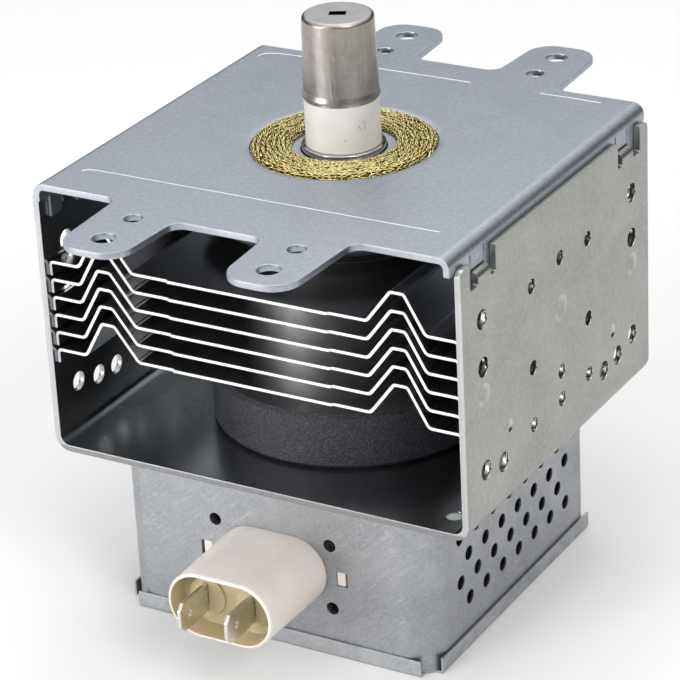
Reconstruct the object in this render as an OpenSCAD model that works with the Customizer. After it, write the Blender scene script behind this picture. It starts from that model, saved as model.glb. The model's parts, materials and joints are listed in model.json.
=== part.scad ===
// Microwave oven magnetron, packaged tube with yoke, fins, magnets and filter box.
// The origin is on the antenna axis, on the mounting face. +Z points along the antenna.
// -Y is the side of the power connector. All sizes are in millimetres.

/* [Yoke frame] */
// Outer width across the two side walls
yoke_w = 95; // [88:0.5:104]
// Depth of floor and walls along the air flow
yoke_d = 82; // [76:0.5:90]
// Thickness of the folded steel sheet
yoke_t = 1.4; // [1:0.1:2]
// Outer radius of the two floor folds
yoke_fold_r = 3.4; // [2.4:0.1:5]
// Depth of the walls' tops below the mounting face
wall_drop = 3; // [2.6:0.1:4]
// Corner radius of the wall tops
wall_corner_r = 1.6; // [0.5:0.1:2.5]
// Diameter of the large wall holes
wall_hole_big = 4; // [3:0.1:5]
// Diameter of the small wall holes
wall_hole_small = 3; // [2:0.1:4]
// Offset of the middle columns of wall holes from the centre
wall_col_mid = 12.4; // [9:0.1:16]
// Offset of the end columns of wall holes from the centre
wall_col_end = 33; // [30:0.1:35]
// Depths of the end columns' large holes below the wall's top
end_rows = [12.8, 22.7, 44.5]; // [5:0.1:54]
// Steps of the low row's other large holes in from the end column
low_steps = [7.2, 13.7]; // [5:0.1:20]
// Depths of those holes below the wall's top
low_rows = [46.2, 46.8]; // [5:0.1:54]
// Depths of the middle columns' small holes below the wall's top
mid_rows = [14.7, 32, 44.4]; // [5:0.1:54]
// Depths of the centre column's small holes below the wall's top
centre_rows = [13.7, 38.3, 44.4]; // [5:0.1:54]
// Depth of the coined dimples in the walls
dimple_depth = 0.45; // [0.2:0.05:0.7]
// Centre dimple: depth below the wall's top, radius
centre_dimple = [24.4, 2.65]; // [1:0.05:54]
// End columns' dimples: depth below the wall's top, radius
end_dimple = [28.5, 2.35]; // [1:0.05:54]
// Low dimples: offset from the centre, depth below the wall's top, radius
low_dimple = [23.1, 39.5, 1.5]; // [1:0.05:54]
// Distance of the drain holes from the yoke's sides
drain_in_x = 6.5; // [5:0.1:9]
// Distance of the drain holes from the yoke's ends
drain_in_y = 6.6; // [5:0.1:9]
// Diameter of the drain holes
drain_d = 3.4; // [2:0.1:5]

/* [Crimp tabs] */
// Distance of each tab's middle from the centre
tab_mid = 31.5; // [29:0.1:33]
// Width of each tab
tab_w = 5.1; // [4:0.1:6]
// Width of the relief slit on the tab's inner side
slit_in = 2.1; // [1.2:0.1:2.5]
// Width of the relief slit on the tab's outer side
slit_out = 3.2; // [2:0.1:4]
// Depth of the relief slits below the wall's top
slit_h = 5.4; // [4:0.1:7]
// Angle through which each tab curls in under the plate's tongue
tab_wrap = 80; // [25:1:90]
// Height of a tab's straight part above the slits' bottoms
tab_stem = 1; // [0.4:0.1:1.6]
// Length of a tab's end past its curl
tab_reach = 0.9; // [0.4:0.1:1.2]

/* [Mounting plate] */
// Thickness of the plate
plate_t = 1.4; // [1:0.1:2]
// Outer radius of the rolled shoulders along the two sides
shoulder_r = 2.4; // [2.4:0.1:4]
// Depth of the shoulders' lips below the mounting face
lip_drop = 3.9; // [3.6:0.1:6]
// Depth of the plate over its side lips
plate_d = 85; // [80:0.5:88]
// Depth of the plate between the sides and the ears
plate_mid_d = 85; // [82:0.5:90]
// Depth of the plate between the two ears of an end
plate_bridge_d = 95.2; // [92:0.2:100]
// Depth of the plate over the ears' tips
ear_span = 132; // [124:0.5:140]
// Width of an ear at its root
ear_root_w = 16.5; // [13:0.1:20]
// Width of an ear at its tip
ear_tip_w = 14.4; // [11:0.1:18]
// Corner radius of an ear's tip
ear_tip_r = 5.6; // [3:0.1:6.4]
// Fillet radius at an ear's root
ear_root_r = 2.8; // [1:0.1:4]
// Spacing of the bolt holes across the width
bolt_x = 36; // [30:0.5:42]
// Spacing of the bolt holes along the depth
bolt_y = 119; // [112:0.5:124]
// Diameter of the bolt holes
bolt_d = 4.6; // [3.5:0.1:6]
// Spacing of the pilot holes along the depth
pilot_y = 98.8; // [94:0.2:104]
// Diameter of the pilot holes
pilot_d = 3.7; // [2:0.1:4.5]

/* [Gasket] */
// Outer diameter of the gasket ring
gasket_od = 37.4; // [32:0.2:42]
// Inner diameter of the gasket ring
gasket_id = 21.4; // [20:0.2:24]
// Thickness of the gasket ring
gasket_t = 1.7; // [1:0.1:3]
// Radius of the gasket ring's upper edges
gasket_edge_r = 0.7; // [0.2:0.05:0.9]
// Depth of its drawn pocket in the plate
pocket_depth = 0.8; // [0.4:0.1:1]

/* [Antenna] */
// Diameter of the output ceramic
ceramic_d = 15.2; // [13:0.1:16]
// Bore of the output ceramic
ceramic_bore = 10.4; // [8:0.1:11]
// Height of the ceramic's top above the mounting face
ceramic_top = 10; // [8:0.1:13]
// Height of the cap's top above the mounting face
cap_top = 27.2; // [24:0.1:34]
// Diameter of the cap at its top
cap_top_d = 14.4; // [12.6:0.1:15]
// Diameter of the cap above its rim
cap_low_d = 15.1; // [14:0.1:16]
// Diameter of the cap's rolled rim
cap_rim_d = 15.6; // [15.2:0.1:17]
// Height of the cap's rolled rim
cap_rim_h = 1.4; // [0.8:0.1:2.5]
// Wall of the cap
cap_t = 0.45; // [0.3:0.05:0.6]
// Radius of the cap's top edge
cap_edge_r = 0.9; // [0.8:0.1:2.5]
// Length of the slot in the cap's top
cap_slot_l = 3.3; // [2:0.1:5]
// Width of the slot in the cap's top
cap_slot_w = 2.3; // [1:0.1:2.5]
// Angle of the slot to the plate's width
cap_slot_turn = 24; // [0:1:90]

/* [Magnets] */
// Outer diameter of both ring magnets
magnet_od = 59; // [54:0.5:60]
// Bore of both ring magnets
magnet_id = 18.8; // [18.4:0.1:22]
// Thickness of the output magnet under the plate
output_magnet_t = 10; // [8:0.1:10.2]
// Thickness of the input magnet on the yoke's floor
input_magnet_t = 12; // [9:0.1:15]
// Chamfer on the magnets' edges
magnet_chamfer = 0.8; // [0.3:0.1:1.5]

/* [Anode] */
// Outer diameter of the anode cylinder
anode_od = 42; // [38:0.2:46]
// Wall of the anode cylinder
anode_wall = 3.2; // [2:0.1:4]
// Height of the anode cylinder
anode_h = 29.6; // [28:0.1:34]
// Number of vanes
vane_n = 10; // [8:2:14]
// Thickness of a vane
vane_t = 1.9; // [1.2:0.1:2.2]
// Height of a vane
vane_h = 9.5; // [8:0.1:11]
// Diameter of the circle of vane tips
vane_tip_d = 9.2; // [8.6:0.1:10]
// Radius of the inner strap ring
strap_in_r = 6.2; // [5.8:0.1:6.4]
// Radius of the outer strap ring
strap_out_r = 7.4; // [7.2:0.1:7.6]
// Radial thickness of a strap ring
strap_t = 0.5; // [0.3:0.05:0.6]
// Height of a strap ring
strap_h = 1.2; // [0.8:0.1:1.5]
// Thickness of the pole pieces' flanges
pole_t = 1.6; // [1:0.1:2]
// Bore of the pole pieces
pole_bore = 9.4; // [9:0.1:10]
// Diameter of a pole piece's dish at its flange
pole_dish_d = 26; // [23:0.5:30]
// Distance from a vane's edge to the pole piece's tip
pole_gap = 1.6; // [1.2:0.1:2.5]

/* [Cathode] */
// Mean diameter of the filament coil
filament_d = 3.8; // [3.4:0.1:4.2]
// Wire diameter of the filament
filament_wire = 0.6; // [0.4:0.05:0.7]
// Turns of the filament
filament_turns = 7; // [5:1:9]
// Diameter of the end hats
hat_d = 7; // [5.6:0.1:7.6]
// Thickness of the end hats
hat_t = 1.2; // [0.8:0.1:1.4]
// Diameter of the cathode leads
lead_d = 1.4; // [1:0.1:1.5]

/* [Seal cups and stem] */
// Outer diameter of the seal cups' tubes
cup_d = 17; // [16:0.1:17.6]
// Wall of the seal cups
cup_t = 0.6; // [0.4:0.05:0.8]
// Length of the input cup's tube below the yoke's floor
stem_reach = 3.6; // [2.6:0.1:5]
// Height of the stem ceramic
stem_h = 6; // [4:0.1:7]
// Offset of the stem terminals from the axis
stem_pin_x = 4; // [3.2:0.1:5]
// Length of the stem terminals below the ceramic
stem_lug_l = 7; // [5:0.1:9]

/* [Fins] */
// Thickness of the fin sheet
fin_t = 0.6; // [0.4:0.05:0.8]
// Pitch of the fins
fin_pitch = 3.86; // [3.6:0.02:4.1]
// Distance of the first fin's top face below the anode's top
fin_start = 2.6; // [2.2:0.1:2.8]
// Depth of a fin along the air flow
fin_d = 79; // [70:0.5:81]
// Half width of a fin's middle flat
fin_flat = 26.2; // [25:0.1:27]
// Distance from the axis to the inner edge of a fin's ridge
fin_ridge_in = 31.5; // [30.5:0.1:32]
// Distance from the axis to the outer edge of a fin's ridge
fin_ridge_out = 34.7; // [33.5:0.1:36]
// Distance from the axis to the outer foot of a fin's ridge
fin_foot = 39.1; // [38:0.1:41]
// Height of a fin's ridge
fin_ridge_h = 6.9; // [5:0.1:7]
// Drop of a fin's outer flats below its middle flat
fin_foot_drop = 0.8; // [0:0.1:1.2]
// Fold radius of a fin's upper face
fin_fold_r = 1; // [0.8:0.05:1.2]
// Depth of a fin's turned-down ends
fin_end_h = 3.2; // [1.5:0.1:3.4]
// Depth of a fin's collar
fin_collar_h = 2.9; // [1.5:0.1:3.1]
// Width of the tongue in the middle of a fin's edge
fin_tongue_w = 36; // [20:1:48]
// Reach of that tongue
fin_tongue = 0.4; // [0.2:0.1:0.8]

/* [Filter box] */
// Outer width and depth of the box
box_w = 72; // [68:0.5:76]
// Height of the box with its lid
box_h = 36.1; // [34:0.1:42]
// Thickness of the box sheet
box_t = 0.6; // [0.4:0.05:1]
// Radius of the box's upright corners
box_corner_r = 6.5; // [4:0.1:9]
// Radius of the box's top edge
box_edge_r = 2; // [1:0.1:3]
// Thickness of the lid sheet
lid_t = 0.5; // [0.4:0.05:0.8]
// Height of the lid's flanges
lid_flange_h = 3.6; // [2.5:0.1:5]
// Length of the lid's flanges
lid_flange_l = 66.6; // [54:0.2:68]
// Diameter of the vent holes
vent_d = 3; // [2:0.1:3.6]
// Pitch of the vent holes along a row
vent_pitch = 7.25; // [6.4:0.05:7.8]
// Pitch of the vent rows
vent_row_pitch = 5; // [4.2:0.1:5.6]
// Vent holes in a row
vent_n = 7; // [4:1:7]
// Rows of vent holes
vent_rows = 4; // [2:1:4]
// Depth of the first vent row below the box's top
vent_top = 10.4; // [8:0.1:12]
// Spacing of the four drawn rivets between yoke and box
rivet_pitch = 34; // [28:0.5:38]

/* [Connector] */
// Depth of the connector's axis below the box's top
conn_drop = 18.2; // [17:0.1:20]
// Half distance between the centres of the connector's round ends
conn_half = 4.8; // [3.6:0.1:5]
// Radius of the connector's round ends at the box
conn_base_r = 7.4; // [7.3:0.1:8.6]
// Radius of the connector's round ends at the mouth
conn_mouth_r = 7.1; // [6.6:0.1:7.6]
// Length of the connector in front of the box
conn_l = 21; // [18:0.1:24]
// Wall of the connector at its mouth
conn_wall = 0.7; // [0.7:0.05:1.3]
// Depth of the connector's socket
socket_depth = 4.7; // [4:0.1:18]
// Half distance between the two blades
blade_x = 5.35; // [5:0.05:5.6]
// Width of a blade
blade_w = 6.3; // [4.8:0.1:6.5]
// Thickness of a blade
blade_t = 0.8; // [0.5:0.05:1]
// Reach of the blades past the connector's mouth
blade_reach = 6.1; // [2:0.1:8]
// Distance of the burred holes from the connector's axis, across
burr_x = 13.3; // [12.6:0.1:14]
// Distance of the burred holes from the connector's axis, up and down
burr_z = 7.15; // [6.4:0.05:8]
// Bore of the burred holes
burr_d = 2.7; // [2:0.1:3]
// Distance of the snap windows from the connector's axis
window_x = 15.8; // [15:0.1:16.5]
// Width of the snap windows
window_w = 2.5; // [1.5:0.1:3]
// Height of the snap windows
window_h = 3.2; // [2:0.1:4]

/* [Chokes] */
// Offset of the choke coils from the middle
choke_x = 20; // [18:0.1:24]
// Mean diameter of the choke coils
choke_d = 7.6; // [6:0.1:9]
// Wire diameter of the chokes
choke_wire = 1.4; // [1:0.1:1.6]
// Pitch of the choke coils
choke_pitch = 2.7; // [2:0.1:3]
// Turns of the choke coils
choke_turns = 11; // [8:1:12]
// Length of the choke cores
choke_core_l = 24; // [16:0.5:28]

/* [Hidden] */
$fn = 64;

// Small overlap that makes a cut pass clean through a face
eps = 0.1;
// Clearance of pieces that slide or press together
fit = 0.05;
// Clearance of holes round pieces that only pass through them
pass = 0.2;
// Facets of the wires and of rounded corners
coil_steps = 14;
coil_sides = 6;
lead_sides = 10;
bend_steps = 6;
fold_steps = 3;

// Heights of the stack, from the mounting face down
pocket_z = -pocket_depth;
magnet_top_z = pocket_z - plate_t;
output_cup_z = magnet_top_z - output_magnet_t;
output_pole_z = output_cup_z - cup_t;
anode_top_z = output_pole_z - pole_t;
anode_bottom_z = anode_top_z - anode_h;
input_cup_z = anode_bottom_z - pole_t;
input_magnet_z = input_cup_z - cup_t;
floor_z = input_magnet_z - input_magnet_t;
yoke_bottom_z = floor_z - yoke_t;
lid_z = yoke_bottom_z - box_h;
vane_mid_z = (anode_top_z + anode_bottom_z) / 2;

// Yoke and plate
wall_top_z = -wall_drop;
wall_in_x = yoke_w / 2 - yoke_t;
plate_flat_x = wall_in_x - fit - shoulder_r;
slit_r = 0.4;
tab_curl_in = 0.15;
tab_curl_r = tab_curl_in + yoke_t;
tab_bend_z = wall_top_z - slit_h + tab_stem;
tongue_z = tab_bend_z + tab_curl_r * sin(tab_wrap) + tab_reach * cos(tab_wrap) + fit;
tongue_gap = 0.4;
pocket_r = gasket_od / 2 + pass;
pocket_hole_r = cup_d / 2 + pass;
pocket_soft_w = 1.8;
pocket_soft_h = 0.25;

// Wall holes as distance from the middle and depth below the wall's top
big_holes = [
    for (side = [-1, 1]) for (row = end_rows) [side * wall_col_end, row],
    for (side = [-1, 1]) [side * (wall_col_end - low_steps[0]), low_rows[0]],
    [wall_col_end - low_steps[1], low_rows[1]]
];
small_holes = [
    for (side = [-1, 1]) for (row = mid_rows) [side * wall_col_mid, row],
    for (row = centre_rows) [0, row]
];
dimples = [
    concat([0], centre_dimple),
    for (side = [-1, 1]) concat([side * wall_col_end], end_dimple),
    for (side = [-1, 1]) [side * low_dimple[0], low_dimple[1], low_dimple[2]]
];
drain_x = yoke_w / 2 - drain_in_x;
drain_y = yoke_d / 2 - drain_in_y;

// Drawn rivets that join the yoke's floor to the box
rivet_r = 1.8;
rivet_bore_r = 1.2;
rivet_lip_r = 2.5;
rivet_lip_h = 0.5;
rivet_end_z = yoke_bottom_z - box_t - rivet_lip_h;

// Antenna parts
exhaust_flange_t = 0.5;
exhaust_step = 1;
exhaust_cup_r = ceramic_bore / 2 + exhaust_step;
exhaust_cup_h = 4;
cap_z = ceramic_top + exhaust_flange_t;
tube_r = 2;
tube_wall = 0.5;
tube_rise = 3;
tube_clear = 3.2;
tube_drop = 1.5;
tube_straight_z = cap_z + exhaust_cup_h + tube_rise;
tube_top_z = cap_top - tube_clear;
tube_low_z = ceramic_top - tube_drop;
pinch_t = 0.9;
seal_lip_z = 0.3;
seal_ring_r = cup_d / 2;
antenna_wire_d = 1.8;
antenna_vane_r = 9.2;
antenna_rise = 7.4;
antenna_cross = 7;
antenna_gap = 0.6;
antenna_top_gap = 1;
antenna_turn_z = vane_mid_z + vane_h / 2 + antenna_rise;
antenna_axis_z = output_cup_z + antenna_cross;

// Anode parts
anode_r = anode_od / 2;
anode_in_r = anode_r - anode_wall;
braze = 0.02;
strap_step = 0.4;
strap_gap = 0.3;
strap_groove_in = strap_in_r - strap_t - strap_gap;
strap_groove_out = strap_out_r + strap_t + strap_gap;
strap_groove_mid = (strap_in_r + strap_out_r) / 2;
pole_tip_h = anode_h / 2 - vane_h / 2 - pole_gap;
pole_tip_w = 1.4;
pole_tip_r = pole_bore / 2 + pole_tip_w;

// Cathode parts
filament_low_z = vane_mid_z - vane_h / 2;
filament_high_z = vane_mid_z + vane_h / 2;
lead_gap = 0.4;
hat_bore_r = lead_d / 2 + lead_gap;
side_lead_x = (hat_d - lead_d) / 2;

// Stem
stem_top_z = yoke_bottom_z - box_t - stem_reach;
stem_low_z = stem_top_z - stem_h;
lead_bend_h = 5;
lead_spread_h = 1;
lead_bend_z = floor_z + lead_bend_h;
lead_spread_z = floor_z + lead_spread_h;
lead_bend_r = 2;
lug_t = 0.8;
lug_w = 4;

// Fins
fin_half = wall_in_x - fit;
fin_top_z = anode_top_z - fin_start;
fin_collar_t = 0.6;

// Box and connector
box_top_z = yoke_bottom_z;
lid_gap = 0.1;
lid_bend_r = lid_t + lid_gap;
lid_half = box_w / 2 + lid_gap + lid_t;
box_open_z = lid_z + lid_t;
conn_z = box_top_z - conn_drop;
ground_t = 1;
ground_edge_x = 4.7;
ground_edge_z = 3.5;
ground_w = 2 * (burr_x + ground_edge_x);
ground_h = 2 * (burr_z + ground_edge_z);
flange_t = 1.8;
flange_w = 1.2;
flange_r = conn_base_r + flange_w;
arm_edge_x = 1.8;
arm_edge_z = 1;
arm_half = window_x + arm_edge_x;
arm_h = window_h + 2 * arm_edge_z;
shell_step = 0.8;
shell_t = 1.1;
shell_r = conn_base_r - shell_step;
shell_l = 11.4;
recess_r = shell_r - shell_t;
recess_top = 10;
capacitor_inset = 1;
burr_t = 0.4;
burr_lip = 0.4;
tail_w = 3.2;
tail_end = 15;
blade_tip = conn_l + blade_reach;
blade_chamfer = 1.3;
socket_floor = conn_l - socket_depth;
mouth_edge = 0.35;
boss_r = 4.2;
boss_h = 0.6;
blade_seat = socket_floor + boss_h;
latch_gap = 0.5;
latch_sink = 0.2;
detent_d = 1.7;
detent_depth = 0.3;

// Chokes
choke_tail = 1.6;
choke_side = 4.4;
choke_drop = 4;
choke_y = -box_w / 2 + tail_end - choke_tail;
choke_r = choke_d / 2;
choke_end_y = choke_y + choke_turns * choke_pitch;
choke_turn_x = stem_pin_x + choke_side;
choke_lug_z = stem_low_z - choke_drop;

function unit(v) = v / norm(v);
function left(v) = [-v[1], v[0]];

// Point of a path moved sideways by a sheet's thickness, mitred at the folds
function moved(path, i, t) =
    let (last = len(path) - 1)
    let (before = left(unit(path[max(i, 1)] - path[max(i, 1) - 1])))
    let (after = left(unit(path[min(i, last - 1) + 1] - path[min(i, last - 1)])))
    let (mid = unit(before + after))
    path[i] + mid * t / (mid * before);

// Arc that rounds the corner at a point between its two neighbours, in a plane or in space
function bend(last, here, next, radius, steps = bend_steps) =
    let (to_last = unit(last - here))
    let (to_next = unit(next - here))
    let (half = acos(to_last * to_next) / 2)
    let (sweep_angle = 180 - 2 * half)
    let (centre = here + unit(to_last + to_next) * radius / sin(half))
    let (from = here + to_last * radius / tan(half) - centre)
    let (to = here + to_next * radius / tan(half) - centre)
    radius == 0 ? [here] : [
        for (k = [0 : steps])
        let (share = k / steps)
        centre + radius * unit(from * sin((1 - share) * sweep_angle) + to * sin(share * sweep_angle))
    ];

function xy(point) = [point[0], point[1]];

// Corner of a closed outline of [x, y, radius] points
function corner(points, i) =
    let (n = len(points))
    bend(xy(points[(i + n - 1) % n]), xy(points[i]), xy(points[(i + 1) % n]), points[i][2]);

// Open path through points, with every inner corner rounded
function rounded_path(points, radius, steps = bend_steps) =
    let (last = len(points) - 1)
    [
        points[0],
        for (i = [1 : last - 1]) each bend(points[i - 1], points[i], points[i + 1], radius, steps),
        points[last]
    ];

function tangent(points, i) =
    let (last = len(points) - 1)
    unit(unit(points[max(i, 1)] - points[max(i, 1) - 1])
        + unit(points[min(i, last - 1) + 1] - points[min(i, last - 1)]));

// Directions across a path that turn with it without twisting
function square_to(v, along) = unit(v - (v * along) * along);
function carried(tangents, i) =
    i == 0 ? [square_to([1, 2, 3], tangents[0])]
    : let (before = carried(tangents, i - 1)) concat(before, [square_to(before[i - 1], tangents[i])]);

module rounded(points) {
    polygon([for (i = [0 : len(points) - 1]) each corner(points, i)]);
}

// Folded sheet seen end on: the path is its upper face
module strip(path, t) {
    last = len(path) - 1;
    polygon(concat(path, [for (i = [last : -1 : 0]) moved(path, i, -t)]));
}

module ring_2d(outer_r, inner_r) {
    difference() {
        circle(r = outer_r);
        circle(r = inner_r);
    }
}

// Part of a ring between two angles less than 180 degrees apart
module arc_band(outer_r, inner_r, from, to) {
    reach = 3 * outer_r;
    middle = (from + to) / 2;
    intersection() {
        ring_2d(outer_r, inner_r);
        polygon([
            [0, 0],
            reach * [cos(from), sin(from)],
            reach * [cos(middle), sin(middle)],
            reach * [cos(to), sin(to)]
        ]);
    }
}

module tube(outer_r, inner_r, h) {
    linear_extrude(h) ring_2d(outer_r, inner_r);
}

// Extrusion along the depth of a section drawn with X across and Y up
module along_depth(d) {
    translate([0, d / 2, 0]) rotate([90, 0, 0]) linear_extrude(d) children();
}

// Round wire along a path
module wire(path, d, sides = coil_sides) {
    last = len(path) - 1;
    tangents = [for (i = [0 : last]) tangent(path, i)];
    across = carried(tangents, last);
    points = [
        for (i = [0 : last]) for (k = [0 : sides - 1])
        let (a = k * 360 / sides)
        path[i] + d / 2 * (cos(a) * across[i] + sin(a) * cross(across[i], tangents[i]))
    ];
    skin = [
        for (i = [0 : last - 1]) for (k = [0 : sides - 1])
        let (next = (k + 1) % sides)
        each [
            [i * sides + k, (i + 1) * sides + next, i * sides + next],
            [i * sides + k, (i + 1) * sides + k, (i + 1) * sides + next]
        ]
    ];
    ends = [
        [for (k = [0 : sides - 1]) k],
        [for (k = [sides - 1 : -1 : 0]) last * sides + k]
    ];
    polyhedron(points, concat(skin, ends), convexity = 10);
}

// Yoke frame: floor and two walls folded from one sheet
module wall_outline() {
    half = yoke_d / 2;
    low = yoke_bottom_z + yoke_fold_r;
    rounded([
        [-half, low, 0], [half, low, 0],
        [half, wall_top_z, wall_corner_r], [-half, wall_top_z, wall_corner_r]
    ]);
}

module relief_slit(from, to) {
    low = wall_top_z - slit_h;
    high = wall_top_z + eps;
    rounded([[from, low, slit_r], [to, low, slit_r], [to, high, 0], [from, high, 0]]);
}

module wall_sheet() {
    difference() {
        linear_extrude(yoke_t) difference() {
            wall_outline();
            for (side = [0, 1]) mirror([side, 0]) {
                relief_slit(tab_mid - tab_w / 2 - slit_in, tab_mid - tab_w / 2);
                relief_slit(tab_mid + tab_w / 2, tab_mid + tab_w / 2 + slit_out);
                translate([tab_mid - tab_w / 2 - eps, tab_bend_z]) square([tab_w + 2 * eps, slit_h]);
            }
            for (hole = big_holes) translate([hole[0], wall_top_z - hole[1]]) circle(d = wall_hole_big);
            for (hole = small_holes) translate([hole[0], wall_top_z - hole[1]]) circle(d = wall_hole_small);
        }
        for (dimple = dimples) {
            r = (dimple[2] * dimple[2] + dimple_depth * dimple_depth) / (2 * dimple_depth);
            translate([dimple[0], wall_top_z - dimple[1], yoke_t - dimple_depth + r]) sphere(r = r);
        }
    }
}

module wall_side() {
    translate([wall_in_x, 0, 0]) rotate([90, 0, 90]) wall_sheet();
    for (side = [-1, 1]) translate([yoke_w / 2 - tab_curl_r, side * tab_mid, tab_bend_z]) along_depth(tab_w) {
        arc_band(tab_curl_r, tab_curl_in, 0, tab_wrap);
        rotate(tab_wrap) translate([tab_curl_in, 0]) square([yoke_t, tab_reach]);
    }
    translate([yoke_w / 2 - yoke_fold_r, 0, yoke_bottom_z + yoke_fold_r])
        along_depth(yoke_d) arc_band(yoke_fold_r, yoke_fold_r - yoke_t, -90, 0);
}

module yoke_floor() {
    width = yoke_w - 2 * yoke_fold_r;
    translate([0, 0, yoke_bottom_z]) linear_extrude(yoke_t) difference() {
        square([width, yoke_d], center = true);
        circle(r = cup_d / 2 + pass);
        for (turn = [0, 180]) rotate(turn) translate([drain_x, -drain_y]) circle(d = drain_d);
        at_rivets() circle(r = rivet_bore_r);
    }
    at_rivets() {
        translate([0, 0, rivet_end_z]) tube(rivet_r, rivet_bore_r, box_t + rivet_lip_h);
        translate([0, 0, rivet_end_z]) tube(rivet_lip_r, rivet_bore_r, rivet_lip_h);
    }
}

module at_rivets() {
    for (x = [-0.5, 0.5]) for (y = [-0.5, 0.5]) translate([x, y] * rivet_pitch) children();
}

module yoke_frame() color("#a9aaa2") {
    yoke_floor();
    for (turn = [0, 180]) rotate(turn) wall_side();
}

// Mounting plate: flat with four ears, two rolled shoulders and a drawn pocket
module plate_quarter() {
    ear_x = bolt_x / 2;
    rounded([
        [0, 0, 0],
        [plate_flat_x, 0, 0],
        [plate_flat_x, plate_mid_d / 2, 0],
        [ear_x + ear_root_w / 2, plate_mid_d / 2, ear_root_r],
        [ear_x + ear_tip_w / 2, ear_span / 2, ear_tip_r],
        [ear_x - ear_tip_w / 2, ear_span / 2, ear_tip_r],
        [ear_x - ear_root_w / 2, plate_bridge_d / 2, ear_root_r],
        [0, plate_bridge_d / 2, 0]
    ]);
}

module plate_flat() {
    difference() {
        for (x = [0, 1]) for (y = [0, 1]) mirror([x, 0]) mirror([0, y]) plate_quarter();
        for (x = [-0.5, 0.5]) for (y = [-0.5, 0.5]) {
            translate([x * bolt_x, y * bolt_y]) circle(d = bolt_d);
            translate([x * bolt_x, y * pilot_y]) circle(d = pilot_d);
        }
    }
}

// Rolled side with a lip, and a tongue over each crimp tab
module plate_shoulder() {
    lip_x = shoulder_r - plate_t;
    lip_h = lip_drop - shoulder_r;
    tongue_h = -shoulder_r - tongue_z;
    translate([plate_flat_x, 0, -shoulder_r]) {
        along_depth(plate_d) arc_band(shoulder_r, lip_x, 0, 90);
        difference() {
            along_depth(plate_d) translate([lip_x, -lip_h]) square([plate_t, lip_h]);
            for (side = [-1, 1]) translate([shoulder_r, side * tab_mid, -(lip_h + eps) / 2])
                cube([4 * plate_t, tab_w + 2 * tongue_gap, lip_h + eps], center = true);
        }
        for (side = [-1, 1]) translate([0, side * tab_mid, 0])
            along_depth(tab_w) translate([lip_x, -tongue_h]) square([plate_t, tongue_h]);
    }
}

module mounting_plate() color("#a5acb4") {
    difference() {
        union() {
            translate([0, 0, -plate_t]) linear_extrude(plate_t) plate_flat();
            translate([0, 0, magnet_top_z]) cylinder(r = pocket_r + plate_t, h = -magnet_top_z);
        }
        translate([0, 0, pocket_z]) cylinder(r = pocket_r, h = pocket_depth + eps);
        translate([0, 0, -pocket_soft_h])
            cylinder(r1 = pocket_r, r2 = pocket_r + pocket_soft_w, h = pocket_soft_h + eps / 10);
        translate([0, 0, magnet_top_z - eps]) cylinder(r = pocket_hole_r, h = plate_t + 2 * eps);
    }
    for (turn = [0, 180]) rotate(turn) plate_shoulder();
}

// Gasket with rounded upper edges
module rf_gasket() color("#b09a45") {
    translate([0, 0, pocket_z]) rotate_extrude() rounded([
        [gasket_id / 2, 0, 0],
        [gasket_od / 2, 0, 0],
        [gasket_od / 2, gasket_t, gasket_edge_r],
        [gasket_id / 2, gasket_t, gasket_edge_r]
    ]);
}

// Antenna cap: drawn shell that flares to a rolled rim, with a slotted top
module antenna_cap() color("#9a948a") {
    low_r = cap_low_d / 2;
    top_r = cap_top_d / 2;
    rim_r = cap_rim_d / 2;
    difference() {
        rotate_extrude() rounded([
            [0, cap_z, 0],
            [rim_r - cap_t, cap_z, 0],
            [rim_r, cap_z, cap_t / 3],
            [rim_r, cap_z + cap_t, cap_t / 2],
            [low_r, cap_z + cap_rim_h, 2 * cap_t],
            [top_r, cap_top, cap_edge_r],
            [0, cap_top, 0]
        ]);
        rotate_extrude() rounded([
            [0, cap_z - eps, 0],
            [low_r - cap_t, cap_z - eps, 0],
            [top_r - cap_t, cap_top - cap_t, cap_edge_r - cap_t],
            [0, cap_top - cap_t, 0]
        ]);
        translate([0, 0, cap_top]) rotate(cap_slot_turn)
            cube([cap_slot_l, cap_slot_w, 4 * cap_t], center = true);
    }
}

module exhaust_cup() color("#8f8c86") {
    translate([0, 0, ceramic_top]) difference() {
        union() {
            cylinder(d = ceramic_d - 2 * pass, h = exhaust_flange_t);
            cylinder(r = exhaust_cup_r, h = exhaust_cup_h);
        }
        translate([0, 0, -eps])
            cylinder(r = exhaust_cup_r - exhaust_flange_t, h = exhaust_cup_h - exhaust_flange_t + eps);
        cylinder(r = tube_r + fit, h = exhaust_cup_h + eps);
    }
}

// Exhaust tube, round below and pinched to a wedge above
module exhaust_tube() color("#b87446") {
    wedge = [
        [-tube_r - eps, tube_low_z], [tube_r + eps, tube_low_z], [tube_r + eps, tube_straight_z],
        [pinch_t / 2, tube_top_z], [-pinch_t / 2, tube_top_z], [-tube_r - eps, tube_straight_z]
    ];
    difference() {
        intersection() {
            translate([0, 0, tube_low_z]) cylinder(r = tube_r, h = tube_top_z - tube_low_z);
            along_depth(4 * tube_r) polygon(wedge);
        }
        translate([0, 0, tube_low_z - eps])
            cylinder(r = tube_r - tube_wall, h = tube_straight_z - tube_low_z + eps);
    }
}

module antenna_lead() color("#b87446") {
    wire(rounded_path([
        [antenna_vane_r, 0, vane_mid_z + vane_h / 2],
        [antenna_vane_r, 0, antenna_turn_z],
        [0, 0, antenna_axis_z],
        [0, 0, tube_straight_z - antenna_top_gap]
    ], lead_bend_r), antenna_wire_d, lead_sides);
}

module output_ceramic() color("#e8e5e1") {
    translate([0, 0, seal_lip_z]) tube(ceramic_d / 2, ceramic_bore / 2, ceramic_top - seal_lip_z);
}

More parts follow.
